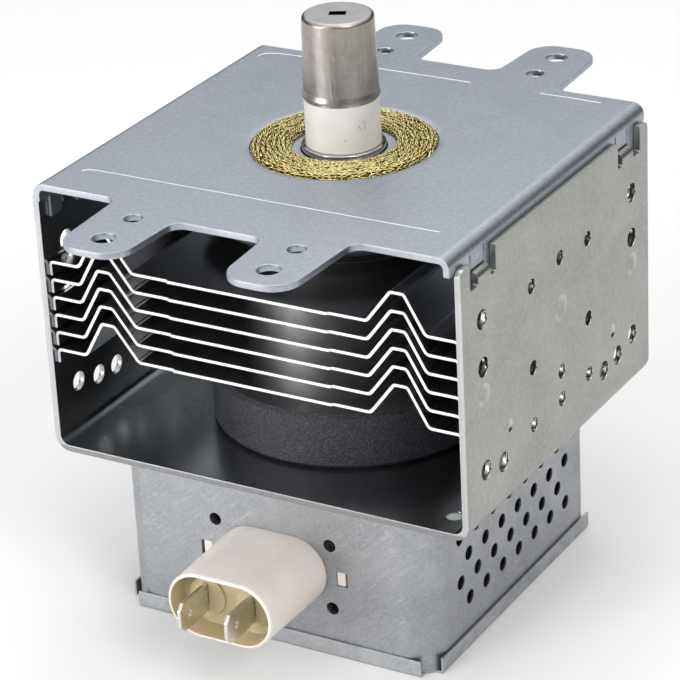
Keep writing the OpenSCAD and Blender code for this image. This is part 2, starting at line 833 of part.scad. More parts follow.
// Seal cups: a flange on the pole piece and a tube with a lip for the ceramic
module output_seal_cup() color("#a8a9ab") {
    lip = cup_t * 2;
    difference() {
        union() {
            translate([0, 0, output_pole_z]) cylinder(r = anode_r, h = cup_t);
            translate([0, 0, output_pole_z])
                cylinder(r = seal_ring_r, h = seal_lip_z - output_pole_z - cup_t / 2);
            translate([0, 0, seal_lip_z - cup_t]) rotate_extrude()
                translate([seal_ring_r - cup_t / 2, cup_t / 2]) circle(d = cup_t);
            translate([0, 0, seal_lip_z - cup_t]) cylinder(r = seal_ring_r - cup_t / 2, h = cup_t);
        }
        translate([0, 0, output_pole_z - eps])
            cylinder(r = seal_ring_r - cup_t, h = seal_lip_z - lip - output_pole_z + eps);
        cylinder(d = ceramic_bore, h = 4 * lip, center = true);
    }
}

module input_seal_cup() color("#a8a9ab") {
    translate([0, 0, input_magnet_z]) tube(anode_r, cup_d / 2 - cup_t, cup_t);
    translate([0, 0, stem_top_z]) tube(cup_d / 2, cup_d / 2 - cup_t, input_magnet_z - stem_top_z);
}

module ring_magnet(t) {
    c = magnet_chamfer;
    rotate_extrude() polygon([
        [magnet_id / 2, 0], [magnet_od / 2 - c, 0], [magnet_od / 2, c],
        [magnet_od / 2, t - c], [magnet_od / 2 - c, t], [magnet_id / 2, t]
    ]);
}

module output_magnet() color("#3a3b40") {
    translate([0, 0, output_cup_z]) ring_magnet(output_magnet_t);
}

module input_magnet() color("#3a3b40") {
    translate([0, 0, floor_z]) ring_magnet(input_magnet_t);
}

// Pole piece as a dished steel disc, flange at Z = 0 and tip below
module pole_piece() {
    dish_r = pole_dish_d / 2;
    rotate_extrude() polygon([
        [dish_r, 0], [anode_r, 0], [anode_r, pole_t], [dish_r + pole_t / 2, pole_t],
        [pole_tip_r, pole_t - pole_tip_h], [pole_bore / 2, pole_t - pole_tip_h],
        [pole_bore / 2, -pole_tip_h], [pole_tip_r + pole_t / 3, -pole_tip_h]
    ]);
}

module output_pole_piece() color("#8b8d90") {
    difference() {
        translate([0, 0, anode_top_z]) pole_piece();
        translate([antenna_vane_r, 0, anode_top_z - pole_tip_h])
            cylinder(d = antenna_wire_d + 2 * antenna_gap, h = pole_tip_h);
    }
}

module input_pole_piece() color("#8b8d90") {
    translate([0, 0, anode_bottom_z]) mirror([0, 0, 1]) pole_piece();
}

module anode_cylinder() color("#c9c6c2") {
    translate([0, 0, anode_bottom_z]) tube(anode_r, anode_in_r, anode_h);
}

// Vane side view from its tip outwards, grooved above and below for the straps
module vane_outline(first, second) {
    half = vane_h / 2;
    tip = vane_tip_d / 2;
    polygon([
        [tip, -half], [strap_groove_in, -half], [strap_groove_in, second - half],
        [strap_groove_mid, second - half], [strap_groove_mid, first - half],
        [strap_groove_out, first - half], [strap_groove_out, -half],
        [anode_in_r - braze, -half], [anode_in_r - braze, half],
        [strap_groove_out, half], [strap_groove_out, half - second],
        [strap_groove_mid, half - second], [strap_groove_mid, half - first],
        [strap_groove_in, half - first], [strap_groove_in, half], [tip, half]
    ]);
}

module anode_vanes() color("#b87446") {
    for (i = [0 : vane_n - 1]) rotate(i * 360 / vane_n) {
        seat = strap_h + strap_gap;
        deep = seat + strap_step;
        intersection() {
            translate([0, vane_t / 2, vane_mid_z]) rotate([90, 0, 0]) linear_extrude(vane_t)
                vane_outline(i % 2 == 0 ? seat : deep, i % 2 == 0 ? deep : seat);
            translate([0, 0, vane_mid_z - vane_h]) cylinder(r = anode_in_r - braze, h = 2 * vane_h);
        }
    }
}

module strap_pair(r) {
    seat = vane_h / 2 - strap_h - strap_gap;
    for (side = [0, 1]) translate([0, 0, vane_mid_z]) mirror([0, 0, side])
        translate([0, 0, seat]) tube(r + strap_t / 2, r - strap_t / 2, strap_h);
}

module inner_straps() color("#b87446") strap_pair(strap_in_r);

module outer_straps() color("#b87446") strap_pair(strap_out_r);

module filament() color("#6d6f73") {
    pitch = (vane_h - filament_wire) / filament_turns;
    start = filament_low_z + filament_wire / 2;
    wire([
        for (i = [0 : filament_turns * coil_steps])
        let (turn = i / coil_steps)
        [filament_d / 2 * cos(turn * 360), filament_d / 2 * sin(turn * 360), start + turn * pitch]
    ], filament_wire);
}

module upper_end_hat() color("#85878c") {
    translate([0, 0, filament_high_z]) cylinder(d = hat_d, h = hat_t);
}

module lower_end_hat() color("#85878c") {
    translate([0, 0, filament_low_z - hat_t]) tube(hat_d / 2, hat_bore_r, hat_t);
}

module centre_lead() color("#85878c") {
    wire(rounded_path([
        [0, 0, filament_high_z], [0, 0, lead_bend_z],
        [-stem_pin_x, 0, lead_spread_z], [-stem_pin_x, 0, stem_low_z]
    ], lead_bend_r), lead_d, lead_sides);
}

module side_lead() color("#85878c") {
    wire(rounded_path([
        [side_lead_x, 0, filament_low_z - hat_t], [side_lead_x, 0, lead_bend_z],
        [stem_pin_x, 0, lead_spread_z], [stem_pin_x, 0, stem_low_z]
    ], lead_bend_r), lead_d, lead_sides);
}

module stem_ceramic() color("#e8e5e1") {
    translate([0, 0, stem_low_z]) difference() {
        cylinder(d = cup_d, h = stem_h);
        for (side = [-1, 1]) translate([side * stem_pin_x, 0, -eps])
            cylinder(d = lead_d + 2 * fit, h = stem_h + 2 * eps);
    }
}

module stem_terminal(side) color("#9c9a92") {
    translate([side * stem_pin_x - lug_t / 2, -lug_w / 2, stem_low_z - stem_lug_l])
        cube([lug_t, lug_w, stem_lug_l]);
}

// Fin section: middle flat, two ridges, outer flats and turned-down ends
module fin_section() {
    foot = -fin_foot_drop;
    right = [
        [fin_flat, 0], [fin_ridge_in, fin_ridge_h], [fin_ridge_out, fin_ridge_h],
        [fin_foot, foot], [fin_half, foot], [fin_half, foot - fin_end_h]
    ];
    last = len(right) - 1;
    folds = concat([for (i = [last : -1 : 0]) [-right[i][0], right[i][1]]], right);
    strip(rounded_path(folds, fin_fold_r, fold_steps), fin_t);
}

module cooling_fin(i) color("#d8d9db") {
    translate([0, 0, fin_top_z - (i - 1) * fin_pitch]) difference() {
        union() {
            along_depth(fin_d) fin_section();
            translate([0, 0, -fin_t / 2]) cube([fin_tongue_w, fin_d + 2 * fin_tongue, fin_t], center = true);
            translate([0, 0, -fin_t - fin_collar_h])
                cylinder(r = anode_r + fit + fin_collar_t, h = fin_collar_h + fin_t);
        }
        translate([0, 0, -2 * fin_collar_h]) cylinder(r = anode_r + fit, h = 4 * fin_collar_h);
    }
}

// Drawn sheet seen in section: an upright wall, a rounded top edge and the top's rim
module drawn_section(h) {
    core = box_corner_r - box_edge_r;
    translate([box_corner_r - box_t, 0]) square([box_t, h - box_edge_r]);
    translate([core, h - box_edge_r]) arc_band(box_edge_r, box_edge_r - box_t, 0, 90);
    translate([0, h - box_t]) square([core, box_t]);
}

module drawn_shell(h) {
    core = box_w / 2 - box_corner_r;
    translate([0, 0, h - box_t / 2]) cube([2 * core, 2 * core, box_t], center = true);
    for (turn = [0 : 90 : 270]) rotate(turn) {
        translate([core, 0, 0]) along_depth(2 * core) drawn_section(h);
        translate([core, core, 0]) rotate_extrude(angle = 90) drawn_section(h);
    }
}

// Frame on the box's front face: X across, Y up, Z out of the box
module on_connector() {
    translate([0, -box_w / 2, conn_z]) rotate([90, 0, 0]) children();
}

module at_burrs() {
    for (x = [-1, 1]) for (y = [-1, 1]) translate([x * burr_x, y * burr_z]) children();
}

// Block with round ends and drafted sides, between two heights
module stadium(low_r, high_r, h) {
    for (side = [-1, 1]) translate([side * conn_half, 0, 0]) cylinder(r1 = low_r, r2 = high_r, h = h);
    translate([-conn_half, 0, 0]) rotate([90, 0, 90]) linear_extrude(2 * conn_half)
        polygon([[-low_r, 0], [low_r, 0], [high_r, h], [-high_r, h]]);
}

module filter_box() color("#979a9e") {
    difference() {
        translate([0, 0, box_open_z]) drawn_shell(box_top_z - box_open_z);
        translate([0, 0, box_top_z - 2 * box_t]) {
            cylinder(r = cup_d / 2 + pass, h = 4 * box_t);
            at_rivets() cylinder(r = rivet_r + fit, h = 4 * box_t);
        }
        for (row = [0 : vent_rows - 1]) for (i = [0 : vent_n - 1]) {
            y = (i - (vent_n - 1) / 2 + (row % 2 == 0 ? -0.25 : 0.25)) * vent_pitch;
            translate([0, y, box_top_z - vent_top - row * vent_row_pitch]) rotate([0, 90, 0])
                cylinder(d = vent_d, h = 2 * box_w, center = true);
        }
        on_connector() translate([0, 0, -4 * box_t]) {
            stadium(conn_base_r + fit, conn_base_r + fit, 8 * box_t);
            for (side = [-1, 1]) translate([side * window_x, 0, 4 * box_t])
                cube([window_w, window_h, 8 * box_t], center = true);
            at_burrs() cylinder(d = burr_d, h = 8 * box_t);
        }
    }
    on_connector() at_burrs() {
        reach = box_t / 2 + ground_t + burr_lip;
        translate([0, 0, -box_t / 2 - reach]) tube(burr_d / 2 + burr_t, burr_d / 2, reach);
        translate([0, 0, -box_t / 2 - reach]) tube(burr_d / 2 + 2 * burr_t, burr_d / 2, burr_lip - box_t / 2);
    }
}

// Lid: flat sheet with four flanges that hold the box from outside
module lid_flange() {
    section_x = lid_half - lid_bend_r;
    translate([section_x, 0, lid_z + lid_bend_r]) along_depth(lid_flange_l) {
        arc_band(lid_bend_r, lid_bend_r - lid_t, -90, 0);
        translate([lid_bend_r - lid_t, 0]) square([lid_t, lid_flange_h - lid_bend_r]);
    }
}

module filter_lid() color("#9b9ea2") {
    reach = 2 * (lid_half - lid_bend_r);
    relief = (reach - lid_flange_l) / 2;
    core = box_w / 2;
    translate([0, 0, lid_z]) linear_extrude(lid_t) {
        rounded([for (corner = [[-1, -1], [1, -1], [1, 1], [-1, 1]]) concat(corner * core, [box_corner_r])]);
        difference() {
            square(reach, center = true);
            for (x = [-1, 1]) for (y = [-1, 1]) translate([x, y] * reach / 2)
                square(2 * relief, center = true);
        }
    }
    for (turn = [0 : 90 : 270]) rotate(turn) lid_flange();
}

// Connector moulding: shroud through the box's wall, flange and snap tongues inside
module connector_housing() color("#d7d0c8") on_connector() {
    behind = -box_t - ground_t;
    mouth_r = conn_mouth_r - conn_wall;
    difference() {
        union() {
            stadium(conn_base_r, conn_mouth_r, conn_l - mouth_edge);
            translate([0, 0, conn_l - mouth_edge])
                stadium(conn_mouth_r, conn_mouth_r - mouth_edge, mouth_edge);
            translate([0, 0, behind]) stadium(conn_base_r, conn_base_r, -behind);
            translate([0, 0, behind - flange_t]) stadium(flange_r, flange_r, flange_t);
            translate([0, 0, behind - flange_t / 2]) cube([2 * arm_half, arm_h, flange_t], center = true);
            translate([0, 0, -shell_l]) stadium(shell_r, shell_r, shell_l);
            for (side = [-1, 1]) translate([side * (window_x - latch_gap / 2), 0, behind / 2 - latch_sink])
                cube([window_w - latch_gap - 2 * fit, window_h - 2 * fit, -behind], center = true);
        }
        difference() {
            translate([0, 0, socket_floor])
                stadium(mouth_r - conn_wall / 2, mouth_r, conn_l - socket_floor + fit);
            for (side = [-1, 1]) translate([side * blade_x, 0, socket_floor - eps])
                cylinder(r = boss_r, h = boss_h + eps);
        }
        translate([0, 0, -shell_l - eps]) stadium(recess_r, recess_r, shell_l + recess_top + eps);
        for (side = [-1, 1]) translate([side * blade_x, 0, socket_floor])
            cube([blade_t + 2 * fit, tail_w + 2 * fit, 4 * conn_l], center = true);
    }
}

// Blade terminal: flat blade in the socket, narrow tail through the capacitor
module blade_terminal(side) color("#c3c2bd") on_connector() {
    half = blade_w / 2;
    tail = tail_w / 2;
    difference() {
        translate([side * blade_x - blade_t / 2, 0, 0]) rotate([90, 0, 90]) linear_extrude(blade_t) polygon([
            [-tail, -tail_end], [tail, -tail_end], [tail, blade_seat], [half, blade_seat],
            [half, blade_tip - blade_chamfer], [half - blade_chamfer, blade_tip],
            [blade_chamfer - half, blade_tip], [-half, blade_tip - blade_chamfer],
            [-half, blade_seat], [-tail, blade_seat]
        ]);
        translate([side * blade_x + blade_t / 2 - detent_depth, 0, blade_tip - half]) rotate([0, 90, 0])
            cylinder(d = detent_d, h = blade_t);
    }
}

module capacitor_ground_plate() color("#a3a5a6") on_connector() {
    translate([0, 0, -box_t - ground_t]) difference() {
        linear_extrude(ground_t) difference() {
            square([ground_w, ground_h], center = true);
            at_burrs() circle(r = burr_d / 2 + burr_t + fit);
            for (side = [-1, 1]) translate([side * window_x, 0]) square([window_w, window_h], center = true);
        }
        translate([0, 0, -eps]) stadium(conn_base_r + fit, conn_base_r + fit, ground_t + 2 * eps);
    }
}

module capacitor_ceramic() color("#c9b99a") on_connector() {
    length = shell_l + recess_top - capacitor_inset;
    difference() {
        translate([0, 0, recess_top - length]) stadium(recess_r - fit, recess_r - fit, length);
        for (side = [-1, 1]) translate([side * blade_x, 0, 0])
            cube([blade_t + 2 * fit, tail_w + 2 * fit, 4 * length], center = true);
    }
}

// Choke: coil along the depth, its leads welded to the blade's tail and the stem's lug
module choke_coil() {
    turns = [
        for (i = [0 : choke_turns * coil_steps])
        let (turn = i / coil_steps)
        let (a = turn * 360)
        [choke_x - choke_r * cos(a), choke_y + turn * choke_pitch, conn_z + choke_r * sin(a)]
    ];
    last = len(turns) - 1;
    tail = [blade_x + blade_t / 2, choke_y, conn_z];
    side = [choke_turn_x, choke_end_y, conn_z];
    down = [choke_turn_x, 0, choke_lug_z];
    lug = [stem_pin_x + lug_t / 2, 0, choke_lug_z];
    wire(concat(
        [tail],
        bend(tail, turns[0], turns[1], choke_wire),
        [for (i = [2 : last - 2]) turns[i]],
        bend(turns[last - 1], turns[last], side, choke_wire),
        bend(turns[last], side, down, choke_wire),
        bend(side, down, lug, choke_wire),
        [lug]
    ), choke_wire);
}

module choke_coil_left() color("#a5652f") mirror([1, 0, 0]) choke_coil();

module choke_coil_right() color("#a5652f") choke_coil();

module choke_core(side) color("#46464a") {
    middle = (choke_y + choke_end_y) / 2;
    translate([side * choke_x, middle, conn_z]) rotate([90, 0, 0])
        cylinder(d = choke_d - choke_wire - 2 * pass, h = choke_core_l, center = true);
}

yoke_frame();
mounting_plate();
rf_gasket();
antenna_cap();
exhaust_cup();
exhaust_tube();
antenna_lead();
output_ceramic();
output_seal_cup();
output_magnet();
output_pole_piece();
anode_cylinder();
anode_vanes();
inner_straps();
outer_straps();
filament();
upper_end_hat();
lower_end_hat();
centre_lead();
side_lead();
input_pole_piece();
input_seal_cup();
stem_ceramic();
stem_terminal(-1);  // stem_terminal_left
stem_terminal(1);  // stem_terminal_right
input_magnet();
cooling_fin(1);  // cooling_fin_1
cooling_fin(2);  // cooling_fin_2
cooling_fin(3);  // cooling_fin_3
cooling_fin(4);  // cooling_fin_4
cooling_fin(5);  // cooling_fin_5
cooling_fin(6);  // cooling_fin_6
filter_box();
filter_lid();
connector_housing();
blade_terminal(-1);  // blade_terminal_left
blade_terminal(1);  // blade_terminal_right
capacitor_ground_plate();
capacitor_ceramic();
choke_coil_left();
choke_coil_right();
choke_core(-1);  // choke_core_left
choke_core(1);  // choke_core_right
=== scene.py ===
import json
import math

import bmesh
import bpy
from mathutils import Matrix, Vector, noise


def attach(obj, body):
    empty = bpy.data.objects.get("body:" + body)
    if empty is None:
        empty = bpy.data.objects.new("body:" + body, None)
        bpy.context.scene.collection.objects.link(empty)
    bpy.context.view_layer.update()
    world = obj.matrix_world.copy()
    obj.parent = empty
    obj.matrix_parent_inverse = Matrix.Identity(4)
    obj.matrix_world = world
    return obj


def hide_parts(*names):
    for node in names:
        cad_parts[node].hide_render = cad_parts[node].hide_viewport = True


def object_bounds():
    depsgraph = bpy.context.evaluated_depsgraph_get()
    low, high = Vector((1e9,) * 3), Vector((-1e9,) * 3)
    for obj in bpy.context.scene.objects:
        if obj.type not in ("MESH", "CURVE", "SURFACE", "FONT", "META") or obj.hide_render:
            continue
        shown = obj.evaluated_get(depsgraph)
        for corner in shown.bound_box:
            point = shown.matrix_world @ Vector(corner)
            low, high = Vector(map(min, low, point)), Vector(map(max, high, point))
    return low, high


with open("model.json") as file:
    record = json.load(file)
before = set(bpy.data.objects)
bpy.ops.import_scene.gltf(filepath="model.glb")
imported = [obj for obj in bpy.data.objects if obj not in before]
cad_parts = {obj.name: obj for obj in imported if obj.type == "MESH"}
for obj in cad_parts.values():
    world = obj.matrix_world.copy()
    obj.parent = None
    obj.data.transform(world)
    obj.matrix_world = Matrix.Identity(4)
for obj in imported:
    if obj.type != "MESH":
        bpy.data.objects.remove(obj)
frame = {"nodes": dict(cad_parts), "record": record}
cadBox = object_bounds()
cadNodes = frame["nodes"]
slotOf = {row["node"]: row["material_slot"] for row in frame["record"]["subparts"]}
scene = bpy.context.scene
scene.view_settings.view_transform = "Standard"
mm = 0.001
print("frame loaded:", len(cadNodes), "nodes")


# camera, set from the photograph's vanishing lines
cameraSet = {
    "place": (0.29277, -0.4943, 0.22949),
    "right": (0.8682, 0.4940, -0.0470),
    "up": (-0.1757, 0.3945, 0.9020),
    "lens": 164.04,
    "sensor": 36.0,
    "near": 0.02,
    "far": 20,
}


def placeCamera(conf):
    right = Vector(conf["right"]).normalized()
    up = Vector(conf["up"])
    back = right.cross(up).normalized()
    up = back.cross(right)
    data = bpy.data.cameras.new("photoCamera")
    data.lens = conf["lens"]
    data.sensor_width = conf["sensor"]
    data.clip_start = conf["near"]
    data.clip_end = conf["far"]
    camera = bpy.data.objects.new("photoCamera", data)
    scene.collection.objects.link(camera)
    turn = Matrix((right, up, back)).transposed().to_4x4()
    camera.matrix_world = Matrix.Translation(conf["place"]) @ turn
    scene.camera = camera


placeCamera(cameraSet)
print("camera placed")


# node helpers; colours are written as screen values from 0 to 255
def linear(rgb):
    parts = [c / 255 for c in rgb]
    return tuple(c / 12.92 if c < 0.04045 else ((c + 0.055) / 1.055) ** 2.4 for c in parts)


def addNode(tree, kind, sockets=None, **settings):
    node = tree.nodes.new(kind)
    for key, value in settings.items():
        setattr(node, key, value)
    for key, value in (sockets or {}).items():
        if isinstance(value, bpy.types.NodeSocket):
            tree.links.new(value, node.inputs[key])
        else:
            node.inputs[key].default_value = value
    return node


def newMaterial(name, colour, metallic=0.0, roughness=0.5):
    mat = bpy.data.materials.new(name)
    mat.use_nodes = True
    tree = mat.node_tree
    shader = tree.nodes["Principled BSDF"]
    shader.inputs["Base Color"].default_value = (*linear(colour), 1)
    shader.inputs["Metallic"].default_value = metallic
    shader.inputs["Roughness"].default_value = roughness
    return mat, tree, shader


def coords(tree, stretch=(1, 1, 1), turn=(0, 0, 0)):
    vector = addNode(tree, "ShaderNodeTexCoord").outputs["Object"]
    if any(turn):  # turned first, so that the stretch follows the turn
        angles = [math.radians(a) for a in turn]
        vector = addNode(tree, "ShaderNodeMapping", {"Vector": vector, "Rotation": angles}).outputs["Vector"]
    return addNode(tree, "ShaderNodeMapping", {"Vector": vector, "Scale": stretch}).outputs["Vector"]


def grain(tree, vector, scale, detail, rough, distortion=0.0):
    made = addNode(tree, "ShaderNodeTexNoise", {
        "Vector": vector, "Scale": scale, "Detail": detail,
        "Roughness": rough, "Distortion": distortion,
    })
    return made.outputs["Fac"]


def cells(tree, vector, scale):
    made = addNode(tree, "ShaderNodeTexVoronoi", {"Vector": vector, "Scale": scale, "Randomness": 1.0})
    return made.outputs["Distance"]


def sweep(tree, value, low, high, start=0.0, end=1.0):
    made = addNode(tree, "ShaderNodeMapRange", {
        "Value": value, "From Min": low, "From Max": high, "To Min": start, "To Max": end,
    }, interpolation_type="SMOOTHSTEP")
    return made.outputs["Result"]


def sums(tree, operation, first, second=0.0):
    made = addNode(tree, "ShaderNodeMath", {0: first, 1: second}, operation=operation)
    return made.outputs[0]


def plus(tree, first, second):
    return sums(tree, "ADD", first, second)


def minus(tree, first, second):
    return sums(tree, "SUBTRACT", first, second)


def times(tree, first, second):
    return sums(tree, "MULTIPLY", first, second)


def unsigned(tree, value):
    return sums(tree, "ABSOLUTE", value)


def span(tree, first, second):
    return sums(tree, "SQRT", plus(tree, times(tree, first, first), times(tree, second, second)))


def mixed(tree, share, first, second):
    made = addNode(tree, "ShaderNodeMix", data_type="RGBA")
    for index, value in ((0, share), (6, first), (7, second)):  # the colour sockets are 6 and 7
        if isinstance(value, bpy.types.NodeSocket):
            tree.links.new(value, made.inputs[index])
        elif index == 0:
            made.inputs[index].default_value = value
        else:
            made.inputs[index].default_value = (*linear(value), 1)
    return made.outputs[2]


def dress(tree, shader, colour, rough=None):
    tree.links.new(colour, shader.inputs["Base Color"])
    if rough is not None:
        tree.links.new(rough, shader.inputs["Roughness"])


def bumped(tree, shader, height, strength, distance):
    made = addNode(tree, "ShaderNodeBump", {
        "Height": height, "Strength": strength, "Distance": distance,
    })
    tree.links.new(made.outputs["Normal"], shader.inputs["Normal"])


def facing(tree, axis):
    geometry = addNode(tree, "ShaderNodeNewGeometry")
    parts = addNode(tree, "ShaderNodeSeparateXYZ", {0: geometry.outputs["Normal"]})
    return parts.outputs[axis]


def place(tree, axis):
    texture = addNode(tree, "ShaderNodeTexCoord")
    parts = addNode(tree, "ShaderNodeSeparateXYZ", {0: texture.outputs["Object"]})
    return parts.outputs[axis]


def axisReach(tree):
    return span(tree, place(tree, 0), place(tree, 1))


# rolled and galvanised sheet: soft mottling, fine grain, hatching and pale sheared edges
sheetSet = {
    "patchScale": 45, "patchRange": (0.4, 0.62), "patchLow": 0.25, "lineRange": (0.5, 0.75),
    "foldFade": 0.1, "innerShadeShare": 0.7, "punchFade": 0.2, "dentFacing": (0.95, 0.99),
    "edgeFacing": (0.86, 0.97), "edgeFade": (0.4, 0.1), "edgeRise": 0.5,
    "tornScale": 2200, "tornSpread": 0.35, "depth": 0.05 * mm,
}


def sheetSteel(name, conf):
    mat, tree, shader = newMaterial(name, conf["colour"], metallic=1.0, roughness=conf["rough"])
    flat = coords(tree)
    cloud = sweep(tree, grain(tree, flat, conf["cloudScale"], 5, 0.6, 0.6), 0.3, 0.7)
    fine = grain(tree, flat, conf["grainScale"], 3, 0.6)
    colour = mixed(tree, cloud, conf["colour"], conf["cloudColour"])
    colour = mixed(tree, sweep(tree, fine, 0.35, 0.75, 0.0, conf["grainShare"]), colour, conf["grainColour"])
    rough = plus(tree, conf["rough"], times(tree, cloud, conf["roughSpread"]))
    height = fine
    if "hatches" in conf:  # rubbed strokes, stronger in patches
        patch = grain(tree, flat, sheetSet["patchScale"], 2, 0.5)
        patch = sweep(tree, patch, *sheetSet["patchRange"], sheetSet["patchLow"])
        for turn, stretch, share in conf["hatches"]:
            line = grain(tree, coords(tree, stretch, turn), 1.0, 3, 0.6, 0.5)
            mark = times(tree, sweep(tree, line, *sheetSet["lineRange"], 0.0, share), patch)
            colour = mixed(tree, mark, colour, conf["hatchColour"])
            height = minus(tree, height, mark)
    if "innerX" in conf:  # the inside of the fold keeps its mill shine, and is painted darker as shade
        halfX, lowZ, fade = conf["innerX"], conf["innerZ"], sheetSet["foldFade"]
        within = sweep(tree, unsigned(tree, place(tree, 0)), (halfX - fade) * mm, halfX * mm, 1.0, 0.0)
        above = sweep(tree, place(tree, 2), lowZ * mm, (lowZ + fade) * mm)
        inside = times(tree, within, above)
        rough = minus(tree, rough, times(tree, inside, conf["innerShine"]))
        colour = mixed(tree, times(tree, inside, sheetSet["innerShadeShare"]), colour, conf["innerShadeColour"])
    if "burnishX" in conf:  # the punch leaves dimples and hole walls smooth; their lighter colour is a painted highlight
        wallX, (lowZ, highZ), fade = conf["burnishX"], conf["burnishZ"], sheetSet["punchFade"]
        outside = unsigned(tree, place(tree, 0))
        outside = sweep(tree, outside, (wallX - sheetSet["foldFade"]) * mm, wallX * mm)
        above = sweep(tree, place(tree, 2), lowZ * mm, (lowZ + fade) * mm)
        below = sweep(tree, place(tree, 2), (highZ - fade) * mm, highZ * mm, 1.0, 0.0)
        dent = sweep(tree, unsigned(tree, facing(tree, 0)), *sheetSet["dentFacing"], 1.0, 0.0)
        dent = times(tree, dent, times(tree, outside, times(tree, above, below)))
        rough = minus(tree, rough, times(tree, dent, conf["burnishShine"]))
        colour = mixed(tree, times(tree, dent, conf["burnishHighlightShare"]), colour, conf["burnishHighlightColour"])
    if "edgeReach" in conf:  # sheared faces that look forward or back, from this reach out
        side = sums(tree, "SIGN", place(tree, 1))
        edge = sweep(tree, times(tree, facing(tree, 1), side), *sheetSet["edgeFacing"])
        start, stop = [(conf["edgeReach"] - fade) * mm for fade in sheetSet["edgeFade"]]
        edge = times(tree, edge, sweep(tree, unsigned(tree, place(tree, 1)), start, stop))
        torn, share = grain(tree, flat, sheetSet["tornScale"], 3, 0.7), conf["edgeShare"]
        torn = sweep(tree, torn, 0.3, 0.7, share - sheetSet["tornSpread"], share)
        paint = conf["edgeColour"]
        if "edgeLow" in conf:  # darker along the floor than up the walls
            lowZ = conf["edgeLowZ"]
            upright = sweep(tree, place(tree, 2), lowZ * mm, (lowZ + sheetSet["edgeRise"]) * mm)
            paint = mixed(tree, upright, conf["edgeLow"], paint)
        colour = mixed(tree, times(tree, edge, torn), colour, paint)
        rough = plus(tree, rough, times(tree, edge, conf["edgeRough"]))
    dress(tree, shader, colour, rough)
    bumped(tree, shader, height, conf["bump"], sheetSet["depth"])
    return mat


plateFinish = {
    "colour": (166, 172, 181), "cloudColour": (160, 167, 176), "grainColour": (188, 192, 199),
    "cloudScale": 110, "grainScale": 1000, "grainShare": 0.6,
    "rough": 0.40, "roughSpread": 0.05, "bump": 0.14,
    "edgeReach": 0, "edgeShare": 0.7, "edgeColour": (176, 176, 180), "edgeRough": 0.16,
}
yokeFinish = {
    "colour": (162, 164, 159), "cloudColour": (153, 155, 150), "grainColour": (181, 182, 177),
    "cloudScale": 60, "grainScale": 900, "grainShare": 0.5,
    "rough": 0.34, "roughSpread": 0.06, "bump": 0.1,
    "edgeReach": 41, "edgeShare": 0.9, "edgeColour": (188, 187, 191), "edgeRough": 0.22,
    "edgeLow": (130, 130, 131), "edgeLowZ": -58.6,
    "innerX": 46.3, "innerZ": -58.7, "innerShine": 0.12, "innerShadeColour": (146, 151, 157),
    "burnishX": 46.9, "burnishZ": (-57, -9), "burnishShine": 0.2, "burnishHighlightShare": 0.4,
    "burnishHighlightColour": (204, 207, 210),
}
boxFinish = {
    "colour": (164, 166, 170), "cloudColour": (148, 151, 155), "grainColour": (188, 190, 192),
    "cloudScale": 90, "grainScale": 1800, "grainShare": 0.4,
    "rough": 0.36, "roughSpread": 0.1, "bump": 0.2,
    "hatchColour": (204, 205, 206),
    "hatches": [  # turn, stretch and share
        ((0, 40, 0), (260, 600, 2200), 0.44),
        ((0, -55, 0), (300, 600, 1900), 0.14),
        ((0, 0, 0), (1300, 1300, 60), 0.12),
    ],
}
lidFinish = {
    "colour": (184, 186, 188), "cloudColour": (158, 161, 164), "grainColour": (200, 201, 203),
    "cloudScale": 190, "grainScale": 1500, "grainShare": 0.45,
    "rough": 0.4, "roughSpread": 0.12, "bump": 0.15,
    "hatchColour": (206, 207, 208),
    "hatches": [((20, 0, 0), (900, 900, 220), 0.25)],
}


# rolled aluminium fins: bright faces, near white sheared edges
finFinish = {
    "colour": (246, 246, 247), "shade": (238, 238, 240), "shadeShare": 0.35, "rolled": (900, 30, 900),
    "rough": 0.12, "roughSpread": 0.1, "bump": 0.05, "depth": 0.04 * mm,
    "edgeColour": (240, 240, 241), "edgeRough": 0.55, "edgeFacing": (0.9, 0.985), "edgeDull": 0.85,
    "endShadeColour": (96, 96, 100), "endRough": 0.2, "endFacing": (0.88, 0.96), "endX": (44 * mm, 45 * mm),
    "collarR": 22.5 * mm, "collarFade": 1.5 * mm, "collarRough": 0.27, "collarFacing": (0.4, 0.7),
}


def finAluminium(conf):
    mat, tree, shader = newMaterial("finAluminium", conf["colour"], metallic=1.0, roughness=conf["rough"])
    rolled = grain(tree, coords(tree, conf["rolled"]), 1.0, 3, 0.6)
    shade = sweep(tree, rolled, 0.3, 0.7, 0.0, conf["shadeShare"])
    colour = mixed(tree, shade, conf["colour"], conf["shade"])
    collarEnd = conf["collarR"] + conf["collarFade"]
    near = sweep(tree, axisReach(tree), conf["collarR"], collarEnd, 1.0, 0.0)  # round the anode
    edge = sweep(tree, unsigned(tree, facing(tree, 1)), *conf["edgeFacing"])
    edge = times(tree, edge, minus(tree, 1.0, near))
    colour = mixed(tree, edge, colour, conf["edgeColour"])
    end = sweep(tree, unsigned(tree, facing(tree, 0)), *conf["endFacing"])  # folded ends, rougher, painted dark as shade
    end = times(tree, end, sweep(tree, unsigned(tree, place(tree, 0)), *conf["endX"]))
    colour = mixed(tree, end, colour, conf["endShadeColour"])
    rough = sweep(tree, rolled, 0.2, 0.8, conf["rough"], conf["rough"] + conf["roughSpread"])
    rough = plus(tree, rough, times(tree, edge, conf["edgeRough"]))
    rough = plus(tree, rough, times(tree, end, conf["endRough"]))
    upright = sweep(tree, unsigned(tree, facing(tree, 2)), *conf["collarFacing"], 1.0, 0.0)
    collar = times(tree, near, upright)  # drawn, so matt
    rough = plus(tree, rough, times(tree, collar, conf["collarRough"]))
    dress(tree, shader, colour, rough)
    tree.links.new(minus(tree, 1.0, times(tree, edge, conf["edgeDull"])), shader.inputs["Metallic"])
    bumped(tree, shader, rolled, conf["bump"], conf["depth"])
    return mat


